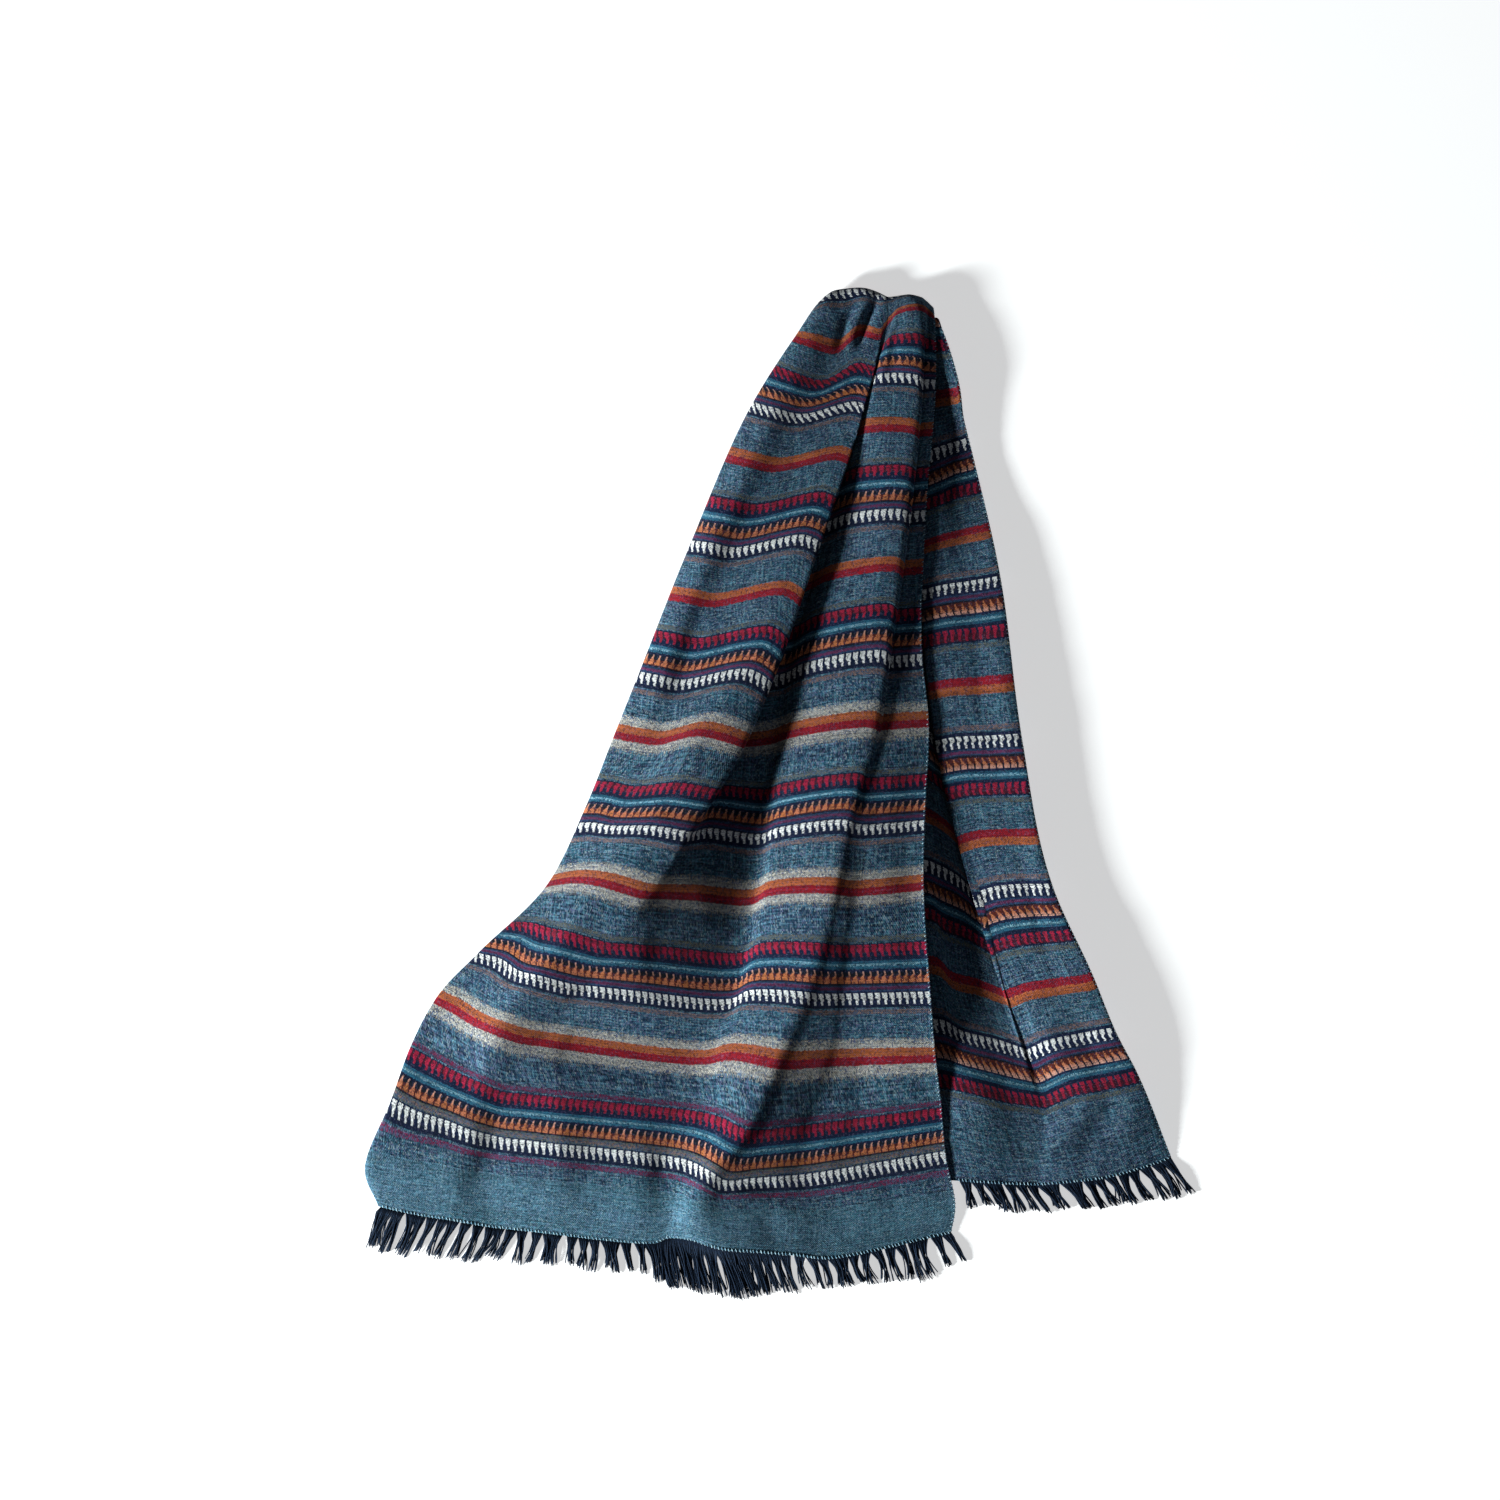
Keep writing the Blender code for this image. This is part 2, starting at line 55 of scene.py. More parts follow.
# Folds are named from the left, steps counts the faces between a section's points, and finer divides each
# again. A tuck point lies below an edge that rolls over. Its numbers are its share of the way down a plain
# side, and where the roll takes it: inward, forward and up, as shares of the roll and the fall.
frontFall = dict(
    folds=("left", "rib", "dip", "pipe", "edge", "floor", "foot", "slope", "ridge", "lip", "strip",
           "selvage"),
    steps=(1, 1, 2, 2, 3, 3, 3, 2, 2, 2, 2, 2, 3, 3, 2, 2, 2, 3),
    points=dict(left=3, pipe=6, turn=9, floor=10, foot=11, ridge=13),
    finer=4, longestRow=5.5, hemStart=2, rumple=0.8, rumpleSize=34.0,
    tuckPoints=((0.35, 0.5, 0.0, 0.52), (0.7, 1.0, 0.5, 0.2)),
    pinchTurnUnder=18.0, pinchTurnLength=54.0, pinchNarrowing=0.12,
    pinchEdge=(-1.6, -0.6, 0.6), pinchCorner=(-0.8, 1.0, 0.6), pinchCornerPoints=6,
    sideTurnUnder=24.0, sideTurnEnds=(800.0, 1000.0), sideEnd=3.0, sideFoot=1.0, sideRound=(0.3, 0.25),
    flatWidth=0.62, flatLength=1.108, flatArea=0.404)

# In a section, cloth is the length of cloth above the hem, and rolls are how far the pipe and the ridge roll
# over the cloth beside them. Hang is how the left side falls at the pinch.
frontSections = (
    dict(cloth=0, across=(379, 400, 425, 452, 490, 530, 655, 668, 690, 720, 830, 951),
         down=(1206, 1211, 1216, 1220, 1227, 1231, 1243, 1238, 1239, 1248, 1258, 1233),
         height=(2, 3.5, 3, 4, 1.5, 2.5, 1.5, 3, 9, 12.5, 5.5, 1.5)),
    dict(cloth=42, across=(366, 388, 430, 458, 490, 530, 655, 674, 694, 722, 820, 955),
         down=(1165, 1170, 1176, 1181, 1185, 1189, 1202, 1203, 1208, 1216, 1221, 1202),
         height=(4.5, 7, 7.5, 8, 4.5, 8, 8.5, 8, 18, 14.5, 4.5, 3)),
    dict(cloth=83, across=(390, 412, 446, 468, 500, 545, 655, 685, 708, 722, 805, 946),
         down=(1105, 1117, 1127, 1135, 1143, 1148, 1160, 1165, 1175, 1184, 1180, 1157),
         height=(5, 7.5, 8.5, 10, 7.5, 10, 9.5, 11.5, 22.5, 18.5, 7, 4.2)),
    dict(cloth=140, across=(412, 430, 465, 482, 503, 570, 698, 722, 747, 762, 815, 941),
         down=(1045, 1055, 1073, 1080, 1089, 1096, 1109, 1114, 1125, 1126, 1121, 1105),
         height=(3, 5, 8.5, 11, 9, 10, 9.5, 18.5, 27.5, 22.5, 11.5, 7.2)),
    dict(cloth=193, across=(437, 455, 478, 498, 524, 574, 702, 730, 774, 790, 838, 935),
         down=(998, 1007, 1020, 1028, 1037, 1045, 1059, 1053, 1059, 1061, 1059, 1056),
         height=(3, 8, 17, 24, 17, 6, 5.5, 13.5, 25.5, 21.5, 12, 13.5)),
    dict(cloth=260, across=(478, 500, 520, 539, 574, 636, 730, 750, 804, 818, 844, 930),
         down=(954, 959, 971, 975, 984, 991, 1000, 991, 992, 994, 994, 992),
         height=(3, 12, 24, 31.5, 26, 15.5, 1.2, 10, 24, 21, 16.3, 14.5)),
    dict(cloth=365, across=(549, 562, 583, 606, 646, 694, 752, 770, 832, 842, 853, 923),
         down=(883, 880, 878, 881, 892, 894, 899, 890, 887, 889, 890, 884),
         height=(3, 9, 19.5, 29.5, 32.5, 19, 2.5, 11.5, 24.3, 22, 20, 13.8)),
    dict(cloth=450, rolls=(4, 2), across=(586, 600, 620, 666, 702, 714, 763, 780, 850, 858, 866, 925),
         down=(808, 808, 812, 811, 816, 812, 818, 812, 803, 807, 808, 804),
         height=(5, 11, 19, 33, 30, 15, 3.5, 12, 24, 22.2, 20.4, 14.2)),
    dict(cloth=537, rolls=(16, 5), across=(616, 636, 660, 702, 746, 756, 774, 792, 872, 880, 887, 928),
         down=(733, 737, 740, 731, 743, 741, 738, 732, 722, 726, 724, 721),
         height=(7, 14.5, 19.5, 33, 29, 8, 6, 14.5, 23.5, 21, 18.5, 14.5)),
    dict(cloth=598, rolls=(20, 6), across=(638, 658, 680, 746, 769, 780, 787, 802, 882, 889, 895, 922),
         down=(678, 682, 686, 676, 690, 681, 679, 671, 658, 664, 663, 661),
         height=(8, 16.5, 16.5, 30.5, 27.5, 8.5, 9.5, 16, 23, 20.5, 17.5, 14.3)),
    dict(cloth=750, rolls=(22, 7), across=(690, 710, 733, 802, 818, 828, 833, 846, 902, 909, 915, 925),
         down=(547, 550, 554, 542, 550, 528, 526, 521, 517, 522, 518, 517),
         height=(8, 20, 17.5, 26, 25.5, 11, 12.5, 16.8, 23.2, 20.5, 17.3, 13.8)),
    dict(cloth=902, rolls=(20, 8), across=(751, 771, 800, 852, 863, 870, 873, 880, 916, 922, 928, 935),
         down=(408, 414, 420, 408, 411, 384, 382, 380, 382, 387, 386, 386),
         height=(8, 17, 14, 15.5, 16.5, 12, 13.5, 16.5, 19.5, 18, 16.3, 13.2)),
    dict(cloth=1000, hang=(0.3, 0, -3), across=(796, 810, 838, 859, 880, 888, 892, 898, 916, 924, 929, 934),
         down=(337, 341, 347, 331, 335, 322, 318, 312, 308, 310, 314, 318),
         height=(8, 13, 10, 11, 12, 10.5, 11, 13, 15.5, 14.5, 13.5, 12.5)),
    dict(cloth=1054, hang=(0.6, -1, -2), across=(820, 830, 846, 864, 880, 887, 892, 899, 909, 921, 926, 931),
         down=(303, 294, 291, 290, 295, 298, 298, 297, 296, 299, 303, 308),
         height=(7, 9, 8.5, 10, 9, 8.5, 8.5, 9, 9.5, 9, 8.5, 8)),
)
backFall = dict(
    folds=("hidden", "under", "swell", "slope", "hollow", "edge", "pipe", "face", "rim", "selvage"),
    steps=(2, 2, 2, 2, 2, 2, 2, 2, 2, 3, 3, 2),
    finer=4, longestRow=5.5, rumple=0.5, rumpleSize=30.0,
    tuckRadius=2.0, tuckPoints=((0.25, 0.5, 0), (0.5, 1.0, 1), (0.75, 0.5, 2)),
    flatWidth=0.47, flatLength=0.88, flatArea=0.236)
backSections = (
    dict(cloth=0, across=(700, 840, 945, 975, 1005, 1035, 1062, 1110, 1166, 1171),
         down=(1192, 1186, 1180, 1182, 1184, 1185, 1183, 1177, 1160, 1157),
         height=(1, 1, 2, 3, 2, 1.5, 3.5, 3, 1.5, 1)),
    dict(cloth=92, across=(722, 845, 938, 968, 1010, 1043, 1070, 1098, 1134.5, 1136),
         down=(1095, 1085, 1077, 1083, 1094, 1099, 1087, 1081, 1073, 1072),
         height=(1, 1, 5.5, 7.5, 3, 1.2, 7.5, 10.5, 12.5, 12)),
    dict(cloth=140, roll=4, across=(732, 848, 940, 962, 998, 1027, 1048, 1075, 1112.5, 1114),
         down=(1042, 1032, 1023, 1034, 1043, 1053, 1043, 1037, 1030, 1030),
         height=(1, 1, 8.5, 6.5, 2.5, 1.2, 10, 12.5, 16.5, 16)),
    dict(cloth=192, roll=8, across=(740, 850, 935, 952, 978, 1006, 1027, 1056, 1091.5, 1093),
         down=(985, 975, 965, 980, 987, 999, 991, 986, 980, 978),
         height=(1, 1, 10.5, 5.5, 1, 3, 8, 12, 16.5, 16)),
    dict(cloth=290, roll=14, across=(756, 852, 922, 938, 957, 974, 994, 1020, 1050.5, 1052),
         down=(888, 880, 865, 870, 880, 900, 892, 889, 888, 887),
         height=(1, 1, 4, 1.5, 1, 3, 6.5, 10.5, 15.5, 15)),
    dict(cloth=442, roll=15, across=(785, 862, 905, 915, 924, 936, 957, 985, 1019.5, 1021),
         down=(738, 733, 722, 726, 732, 746, 742, 741, 739, 739),
         height=(1, 1, 4, 5, 6.5, 9.5, 11, 12.5, 16, 15.5)),
    dict(cloth=594, roll=10, across=(812, 868, 890, 900, 909, 920, 942, 970, 998.5, 1000),
         down=(592, 590, 586, 588, 591, 596, 590, 586, 581, 580),
         height=(1, 1, 4, 5, 6.8, 9.2, 11, 11, 13, 12.5)),
    dict(cloth=746, across=(840, 880, 897, 905, 911, 920, 938, 951, 967, 969),
         down=(462, 460, 457, 458, 459, 460, 454, 449, 444, 442),
         height=(1, 1, 3.5, 5, 6.8, 8.8, 10, 8, 9, 9)),
    dict(cloth=772, across=(845, 882, 897, 905, 912, 919, 935, 950, 961.5, 963),
         down=(434, 432, 430, 430, 430, 431, 427, 424, 420, 418),
         height=(1, 1, 1, 1.5, 4, 7, 7.5, 8, 11.5, 11.5)),
    dict(cloth=800, across=(850, 884, 898, 905, 911, 918, 932, 946, 957.5, 959.5),
         down=(405, 404, 403, 402, 401, 401, 400, 398, 396, 390),
         height=(1, 1, 1, 1, 1.5, 2.5, 3.5, 9, 13.5, 13.5)),
    dict(cloth=840, across=(862, 888, 900, 906, 911, 917, 927, 938, 948.5, 950),
         down=(360, 360, 359, 359, 358, 357, 356, 355, 355, 353),
         height=(1, 1, 1, 1.5, 3, 6, 9.5, 12, 13.5, 13.5)),
    dict(cloth=880, across=(874, 892, 901, 906, 910, 914, 922, 930, 937, 938.5),
         down=(327, 327, 326, 326, 325, 325, 322, 319, 319, 322),
         height=(1, 1, 1, 1, 2, 4, 7.5, 10, 12, 12)),
)

# Creases pressed into the falls. Columns: depth, below zero for a trough, then width, then the places on the
# plan that the crease runs through.
frontCreases = (
    (-8, 5, (880, 296), (874, 306), (867, 320), (862, 334), (858, 348)),
    (-3, 5, (858, 300), (850, 314), (843, 330), (838, 352)),
    (-1.8, 3, (927, 300), (928, 320), (928, 352)),
    (-1.6, 5, (902, 298), (899, 320), (893, 352), (889, 392)),
    (-2, 10, (655, 905), (640, 925), (612, 955), (580, 995), (535, 1045), (500, 1090)),
    (1.3, 12, (642, 900), (641, 960), (636, 1010), (618, 1050)),
    (4, 22, (652, 892), (640, 918), (622, 948), (596, 985)),
    (-2, 12, (500, 1100), (492, 1150), (474, 1185), (458, 1212)),
    (2.8, 11, (562, 1105), (560, 1150), (558, 1190), (555, 1228)),
    (-1.8, 11, (592, 1110), (590, 1150), (587, 1200), (585, 1236)),
    (3, 11, (645, 1110), (642, 1160), (639, 1210), (637, 1240)),
    (-1.8, 11, (668, 1110), (665, 1160), (658, 1205), (653, 1240)),
    (-1, 12, (760, 1195), (768, 1215), (772, 1245)),
    (-2.2, 9, (866, 1035), (860, 1085), (855, 1130), (856, 1180)),
    (1.4, 10, (940, 1060), (946, 1110), (953, 1180)),
    (-1.2, 12, (884, 1140), (888, 1180), (890, 1230)),
    (-4, 4.5, (690, 1199), (712, 1192), (734, 1186), (760, 1184), (782, 1188)),
    (1.5, 6, (700, 1196), (722, 1190), (748, 1184)),
    (-1.3, 9, (700, 1010), (690, 1050), (684, 1095), (676, 1140)),
    (1, 9, (780, 905), (770, 960), (760, 1010), (748, 1070)),
    (-1.2, 9, (868, 840), (858, 900), (850, 960), (846, 1020)),
    (0.9, 11, (895, 760), (890, 850), (892, 940), (898, 1020)),
    (-0.9, 6, (912, 560), (908, 640), (912, 720)),
    (2.4, 9, (923, 760), (925, 845), (927, 920), (931, 1000), (938, 1070)),
    (-1.4, 9, (572, 905), (548, 935), (515, 965), (478, 1000)),
    (0.8, 8, (620, 745), (604, 790), (582, 835), (560, 870)),
    (-0.9, 8, (700, 590), (690, 640), (680, 700)),
    (-1, 7, (736, 470), (726, 510), (716, 550)),
    (0.9, 7, (764, 560), (752, 610), (738, 660)),
    (-0.9, 7, (800, 440), (792, 490), (780, 540)),
    (-1, 8, (868, 430), (862, 500), (852, 580)),
    (0.8, 8, (888, 470), (880, 560), (868, 660)),
)
backCreases = (
    (-2.2, 12, (1116, 1092), (1104, 1116), (1090, 1142), (1078, 1164)),
    (3.6, 9, (1044, 1147), (1062, 1131), (1084, 1115), (1108, 1102)),
    (1.2, 12, (1140, 1100), (1128, 1125), (1116, 1152)),
    (0.9, 13, (1040, 1098), (1046, 1125), (1050, 1160), (1052, 1184)),
    (1.2, 15, (985, 1080), (990, 1120), (996, 1170)),
    (-1.3, 7, (1010, 800), (1022, 860), (1040, 930), (1060, 1000)),
    (0.8, 7, (996, 640), (1004, 700), (1010, 760)),
    (-1, 7, (975, 600), (978, 660), (984, 720)),
    (-1.1, 9, (1075, 1000), (1090, 1050), (1104, 1100)),
)

# The hidden layers that hold up the front fall's folds, in millimetres like the rest.
innerLayers = dict(
    lengths=(430, 980), everyRow=3, taper=90, leastFull=0.1, base=2.6, thin=1.2, edge=0.8, inset=12,
    headroom=3.5, shoulder=4, spacing=1, steep=1.6, footWidth=2)


def placed(across, down, height):
    return Vector((across - plan["across"], plan["down"] - down, height))


# Fold lines of one section, each lifted by the loft of the cloth.
def foldPoints(section, fall):
    columns = zip(fall["folds"], section["across"], section["down"], section["height"])
    return {fold: placed(across, down, max(height * scarf["loft"], scarf["floorLayer"]))
            for fold, across, down, height in columns}


def mixed(first, second, share):
    return first + (second - first) * share


def ramp(start, end, value):
    return min(max((value - start) / (end - start), 0.0), 1.0)


def tangent(knots, values, i):
    if i == 0:
        return (values[1] - values[0]) / (knots[1] - knots[0])
    if i == len(knots) - 1:
        return (values[-1] - values[-2]) / (knots[-1] - knots[-2])
    before, after = knots[i] - knots[i - 1], knots[i + 1] - knots[i]
    return ((values[i] - values[i - 1]) / before - (values[i + 1] - values[i - 1]) / (before + after)
            + (values[i + 1] - values[i]) / after)


def onCurve(knots, values, i, share):
    reach = knots[i + 1] - knots[i]
    start, end = tangent(knots, values, i) * reach, tangent(knots, values, i + 1) * reach
    s2, s3 = share * share, share ** 3
    return (values[i] * (2 * s3 - 3 * s2 + 1) + start * (s3 - 2 * s2 + share)
            + values[i + 1] * (3 * s2 - 2 * s3) + end * (s3 - s2))


# Points of a smooth curve through the values, with a number of steps for each span.
def curveThrough(knots, values, steps):
    points = [onCurve(knots, values, i, k / count) for i, count in enumerate(steps) for k in range(count)]
    return points + [values[-1]]


# How far along a run each of its points lies, with every chord raised to this power.
def runLengths(points, power=1.0):
    return [0.0, *np.cumsum([(b - a).length ** power for a, b in zip(points, points[1:])]).tolist()]


# Control points across the front fall, from the end of its turned-under side to its selvage.
def frontProfile(section):
    at = foldPoints(section, frontFall)
    left, base = at["left"], scarf["floorLayer"]
    above = left.z - base
    under = frontFall["sideTurnUnder"] * (1 - ramp(*frontFall["sideTurnEnds"], section["cloth"]))
    inward, rise = frontFall["sideRound"]
    turned = [Vector((left.x + above + frontFall["sideEnd"] + under, left.y, base)),
              Vector((left.x + above + frontFall["sideFoot"], left.y, base)),
              Vector((left.x + inward * above, left.y, base + rise * above))]
    if "hang" in section:
        turned = [left + Vector(section["hang"]) * step for step in (3, 2, 1)]

    def tuck(edge, floor, roll):
        points = []
        for plain, inward, forward, rise in frontFall["tuckPoints"]:
            rolled = Vector((edge.x - inward * roll, mixed(edge.y, floor.y, forward),
                             mixed(floor.z, edge.z, rise)))
            points.append(mixed(mixed(edge, floor, plain), rolled, min(roll / scarf["fullTuck"], 1.0)))
        return points

    pipeRoll, ridgeRoll = section.get("rolls", (0, 0))
    return [*turned, left, at["rib"], at["dip"], at["pipe"], at["edge"],
            *tuck(at["edge"], at["floor"], pipeRoll), at["floor"], at["foot"], at["slope"], at["ridge"],
            at["lip"], *tuck(at["lip"], at["strip"], ridgeRoll), at["strip"], at["selvage"]]


# The sections of the front fall, and the row at the end of the cloth that is turned under at the pinch.
def frontRows():
    rows = [(section["cloth"], frontProfile(section)) for section in frontSections]
    topLength, top = rows[-1]
    left = frontFall["points"]["left"]
    middle = (top[left].x + top[-1].x) / 2
    under = [Vector((mixed(p.x, middle, frontFall["pinchNarrowing"]), p.y - frontFall["pinchTurnUnder"],
                     scarf["floorLayer"])) for p in top]
    for step, point in enumerate(under[-frontFall["pinchCornerPoints"]:], 1):
        point += Vector(frontFall["pinchCorner"]) * step
    under[:left] = [under[left] + Vector(frontFall["pinchEdge"]) * step for step in range(left, 0, -1)]
    return rows + [(topLength + frontFall["pinchTurnLength"], under)]


# Control points across the back fall, from its hidden side to its selvage.
def backProfile(section):
    at = foldPoints(section, backFall)
    edge, roll, base = at["edge"], section.get("roll", 0), scarf["floorLayer"]
    tuck = []
    for plain, outward, radii in backFall["tuckPoints"]:
        rolled = Vector((edge.x + outward * roll, edge.y, base + radii * backFall["tuckRadius"]))
        tuck.append(mixed(mixed(at["hollow"], edge, plain), rolled, min(roll / scarf["fullTuck"], 1.0)))
    return [at["hidden"], at["under"], at["swell"], at["slope"], at["hollow"], *tuck, edge, at["pipe"],
            at["face"], at["rim"], at["selvage"]]


# Rows of middle points along the cloth, with the length of cloth at each row.
def clothGrid(rows, fall):
    knots = [length for length, _ in rows]
    steps = [max(scarf["fewestRows"], math.ceil(reach / fall["longestRow"])) for reach in np.diff(knots)]
    columns = [curveThrough(knots, fold, steps) for fold in zip(*(row for _, row in rows))]
    lengths = curveThrough(knots, knots, steps)
    acrossSteps = [count * fall["finer"] for count in fall["steps"]]
    grid = []
    for row in zip(*columns):
        # the square root keeps the curve from looping at close points
        points = curveThrough(runLengths(row, 0.5), row, acrossSteps)
        grid.append([(p.x, p.y, max(p.z, scarf["floorLayer"])) for p in points])
    return np.array(grid), np.array(lengths)


# Soft troughs and ridges on the upward faces, faded out towards both ends of their runs.
def pressCreases(grid, creases):
    normal = np.cross(np.gradient(grid, axis=1), np.gradient(grid, axis=0))
    upward = np.clip(normal[..., 2] / np.maximum(np.linalg.norm(normal, axis=2), 1e-9), 0, 1)
    spots = grid[..., :2]
    lift = np.zeros(grid.shape[:2])
    for depth, width, *places in creases:
        run = [np.array(placed(*place, 0)[:2]) for place in places]
        pieces = [np.linalg.norm(b - a) for a, b in zip(run, run[1:])]
        nearest = np.full(lift.shape, np.inf)
        travelled = np.zeros(lift.shape)
        for k, (a, b) in enumerate(zip(run, run[1:])):
            share = np.clip(((spots - a) @ (b - a)) / pieces[k] ** 2, 0, 1)
            distance = np.linalg.norm(spots - a - share[..., None] * (b - a), axis=2)
            closer = distance < nearest
            nearest = np.where(closer, distance, nearest)
            travelled = np.where(closer, (sum(pieces[:k]) + share * pieces[k]) / sum(pieces), travelled)
        fade = np.sin(math.pi * np.clip(travelled, *scarf["creaseEnds"])) ** scarf["creaseFade"]
        lift += depth * fade * np.exp(-(nearest / width) ** 2)
    grid[..., 2] += lift * upward
    return upward


# A slight unevenness, so that no part of the cloth is perfectly smooth.
def rumple(grid, upward, fall):
    for i in range(grid.shape[0]):
        for j in range(grid.shape[1]):
            spot = Vector(grid[i, j]) / fall["rumpleSize"]
            fine = scarf["fineRumple"] * noise.noise(spot * scarf["fineSize"])
            grid[i, j, 2] += fall["rumple"] * upward[i, j] * (noise.noise(spot) + fine)
    grid[..., 2] = np.maximum(grid[..., 2], scarf["floorLayer"])


# Top points of the hidden layers at one row: a lobe in the pipe and one in the ridge, on thin layers.
def innerRow(row, fullness):
    left, pipe, turn, floor, foot, ridge = map(frontColumn, frontFall["points"])
    base, spacing = innerLayers["base"], innerLayers["spacing"]
    thin = base + innerLayers["thin"]
    lower = Vector((0, 0, innerLayers["headroom"]))
    wall = min(row[turn].x, row[floor].x - innerLayers["inset"]) - innerLayers["inset"] / 2
    lobe = [point - lower for point in row[left + 2:pipe + 1]]
    lobe.insert(0, Vector((lobe[0].x - innerLayers["shoulder"], lobe[0].y, thin)))
    limit = wall - spacing
    for point in reversed(lobe):
        if point.x > limit:
            point.z -= innerLayers["steep"] * (point.x - limit)
            point.x = limit
        limit = min(point.x, limit) - spacing
    valley = [Vector((x, row[k].y, thin)) for x, k in
              ((wall, turn), (row[floor].x, floor), (row[foot].x + innerLayers["footWidth"], foot))]
    rise = [point - lower for point in row[foot + 2:ridge + 1]]
    top = [*lobe, *valley, *rise, Vector((row[ridge].x + spacing, row[ridge].y, thin))]
    return [(p.x, p.y, max(mixed(base, p.z, fullness), base + innerLayers["edge"])) for p in top]


# The front fall's column at one of its control points, before the finer steps.
def frontColumn(fold):
    return sum(frontFall["steps"][:frontFall["points"][fold]])


def innerGrid():
    start, end = innerLayers["lengths"]
    every = innerLayers["everyRow"]
    grid = []
    for length, row in zip(frontLengths[::every], frontGrid[::every]):
        if start <= length <= end:
            risen = ramp(start, start + innerLayers["taper"], length)
            grid.append(innerRow([Vector(point) for point in row[::frontFall["finer"]]],
                                 mixed(innerLayers["leastFull"], 1.0, risen)))
    return np.array(grid)


frontGrid, frontLengths = clothGrid(frontRows(), frontFall)
backGrid, backLengths = clothGrid([(section["cloth"], backProfile(section)) for section in backSections],
                                  backFall)
rumple(frontGrid, pressCreases(frontGrid, frontCreases), frontFall)
rumple(backGrid, pressCreases(backGrid, backCreases), backFall)
print("falls shaped")


# Materials

def screen(red, green, blue):
    return tuple(c / 12.92 if c <= 0.04045 else ((c + 0.055) / 1.055) ** 2.4
                 for c in (red / 255, green / 255, blue / 255)) + (1.0,)


palette = {name: screen(*colour) for name, colour in dict(
    ground=(34, 72, 98), groundPale=(92, 142, 160), groundDeep=(10, 24, 46),
    groundLilac=(86, 84, 114), groundTeal=(26, 82, 102), groundCream=(118, 136, 138),
    navy=(2, 18, 46), ink=(5, 10, 18), slate=(30, 56, 86), plum=(84, 34, 66),
    teal=(30, 82, 106), ice=(118, 162, 176), maroon=(58, 8, 26), russet=(74, 26, 14),
    earth=(116, 92, 84), olive=(92, 92, 78), crimson=(104, 28, 60),
    silver=(186, 180, 166), silverDeep=(96, 98, 112), red=(130, 16, 28), rust=(152, 80, 42),
    bone=(204, 206, 206), apricot=(176, 106, 76), ochre=(156, 92, 52), cerise=(150, 26, 58),
    scarlet=(128, 24, 42), lilac=(190, 156, 148)).items()}

# One repeat of the weave: where each band starts, in millimetres from the middle of the white teeth towards
# the pinch, and its colour. hemBands are woven in other colours in the repeat nearest the front hem. Below
# the front hem's last band the ground is painted paler on the face only: painted light, for the hem tilting
# to the lamp.
weave = dict(
    repeat=152, anchor=598, start=-36, tooth=7.15, thread=1.1,
    white=dict(band=(-6, 6), step=(0.3, 0.6), left=(0.44, 0.14), right=(0.76, 0.84)),
    orange=dict(band=(16, 27.5), step=(0.1, 0.8), left=(0.08, 0.62), right=(0.88, 0.84)),
    pink=dict(band=(42, 54), step=(0.25, 0.6), left=(0.46, 0.18), right=(0.80, 0.84)),
    bands=((-36, "ground"), (-16, "earth"), (-11.5, "ground"), (-9, "navy"), (7.5, "slate"), (9.5, "plum"),
           (12.2, "slate"), (14.2, "ink"), (16, "russet"), (22.5, "ink"), (27.5, "navy"), (30, "teal"),
           (33.2, "ice"), (35.6, "teal"), (38.6, "navy"), (47, "maroon"), (54, "navy"), (55.5, "ground"),
           (57.5, "olive"), (62.5, "ground"), (89.5, "red"), (98, "rust"), (106.5, "ground")),
    silver=dict(start=(77, 83), end=(112.5, 119.5), thinning=1.1, below=640),
    hemLine=(7.5, 14.2), faintLines=((-16, -11.5), (57.5, 62.5)), iceWidth=2.4,
    hemPull=(100, 640, -0.42, 0), paintedHemLight=dict(below=113, share=0.24),
    hemBands={"earth": "crimson", "olive": "crimson", "plum": "earth", "slate": "olive"}, hemBelow=215,
    plainBelow=122, plainAbove=1880,
    farCell=(317, 91, 0), frayAlong=1.4, frayAcross=1.2, floatCover=0.5, rowShade=0.42,
    speckleShade=0.5,
    relief=dict(crossing=0.35, floats=0.8, picks=0.9, slubs=0.6))

# Unevenness of the yarns: cycles per millimetre across and along, and the detail of the noise.
yarnNoise = dict(picks=(0.075, 0.8, 3), slubs=(0.45, 0.03, 1), grain=(0.8, 0.8, 1),
                 drift=(0.006, 0.03, 1))

# The mottled ground of the denim yarns. Columns: the unevenness that is read, where the colour starts, where
# it is full, how much of it shows there, and the colour that is laid over the ones before.
groundTones = (
    ("drift", 0.35, 0.65, 1, "groundTeal"), ("column", 0, 1, 0.3, "groundDeep"),
    ("picks", 0.5, 0.7, 0.6, "groundPale"), ("picks", 0.5, 0.3, 0.8, "groundDeep"),
    ("slubs", 0.54, 0.76, 0.55, "groundPale"), ("slubs", 0.46, 0.26, 0.5, "groundDeep"),
    ("speckle", 0.6, 1, 0.75, "groundLilac"), ("fleck", 0.78, 1, 0.8, "groundCream"),
    ("fleck", 0.3, 0, 0.7, "groundDeep"))

# How much of other yarns shows: from one value of the unevenness to another, and the share at each.
yarnShares = dict(
    silver=(0.3, 0.65, 0.4, 0.95), silverDeep=(0.3, 0.9, 0, 0.7), lines=(0.2, 0.8, 0.05, 0.85),
    brokenIce=(0.35, 0.6, 0.8, 0), stray=(0.72, 1, 0, 0.45), orangeTips=(0.5, 1, 0, 0.7),
    warp=(0.1, 0.9, 0, 0.5), warpSpecks=(0.3, 0, 0, 0.75), shade=(0.3, 0.7, 0.4, 0.7))


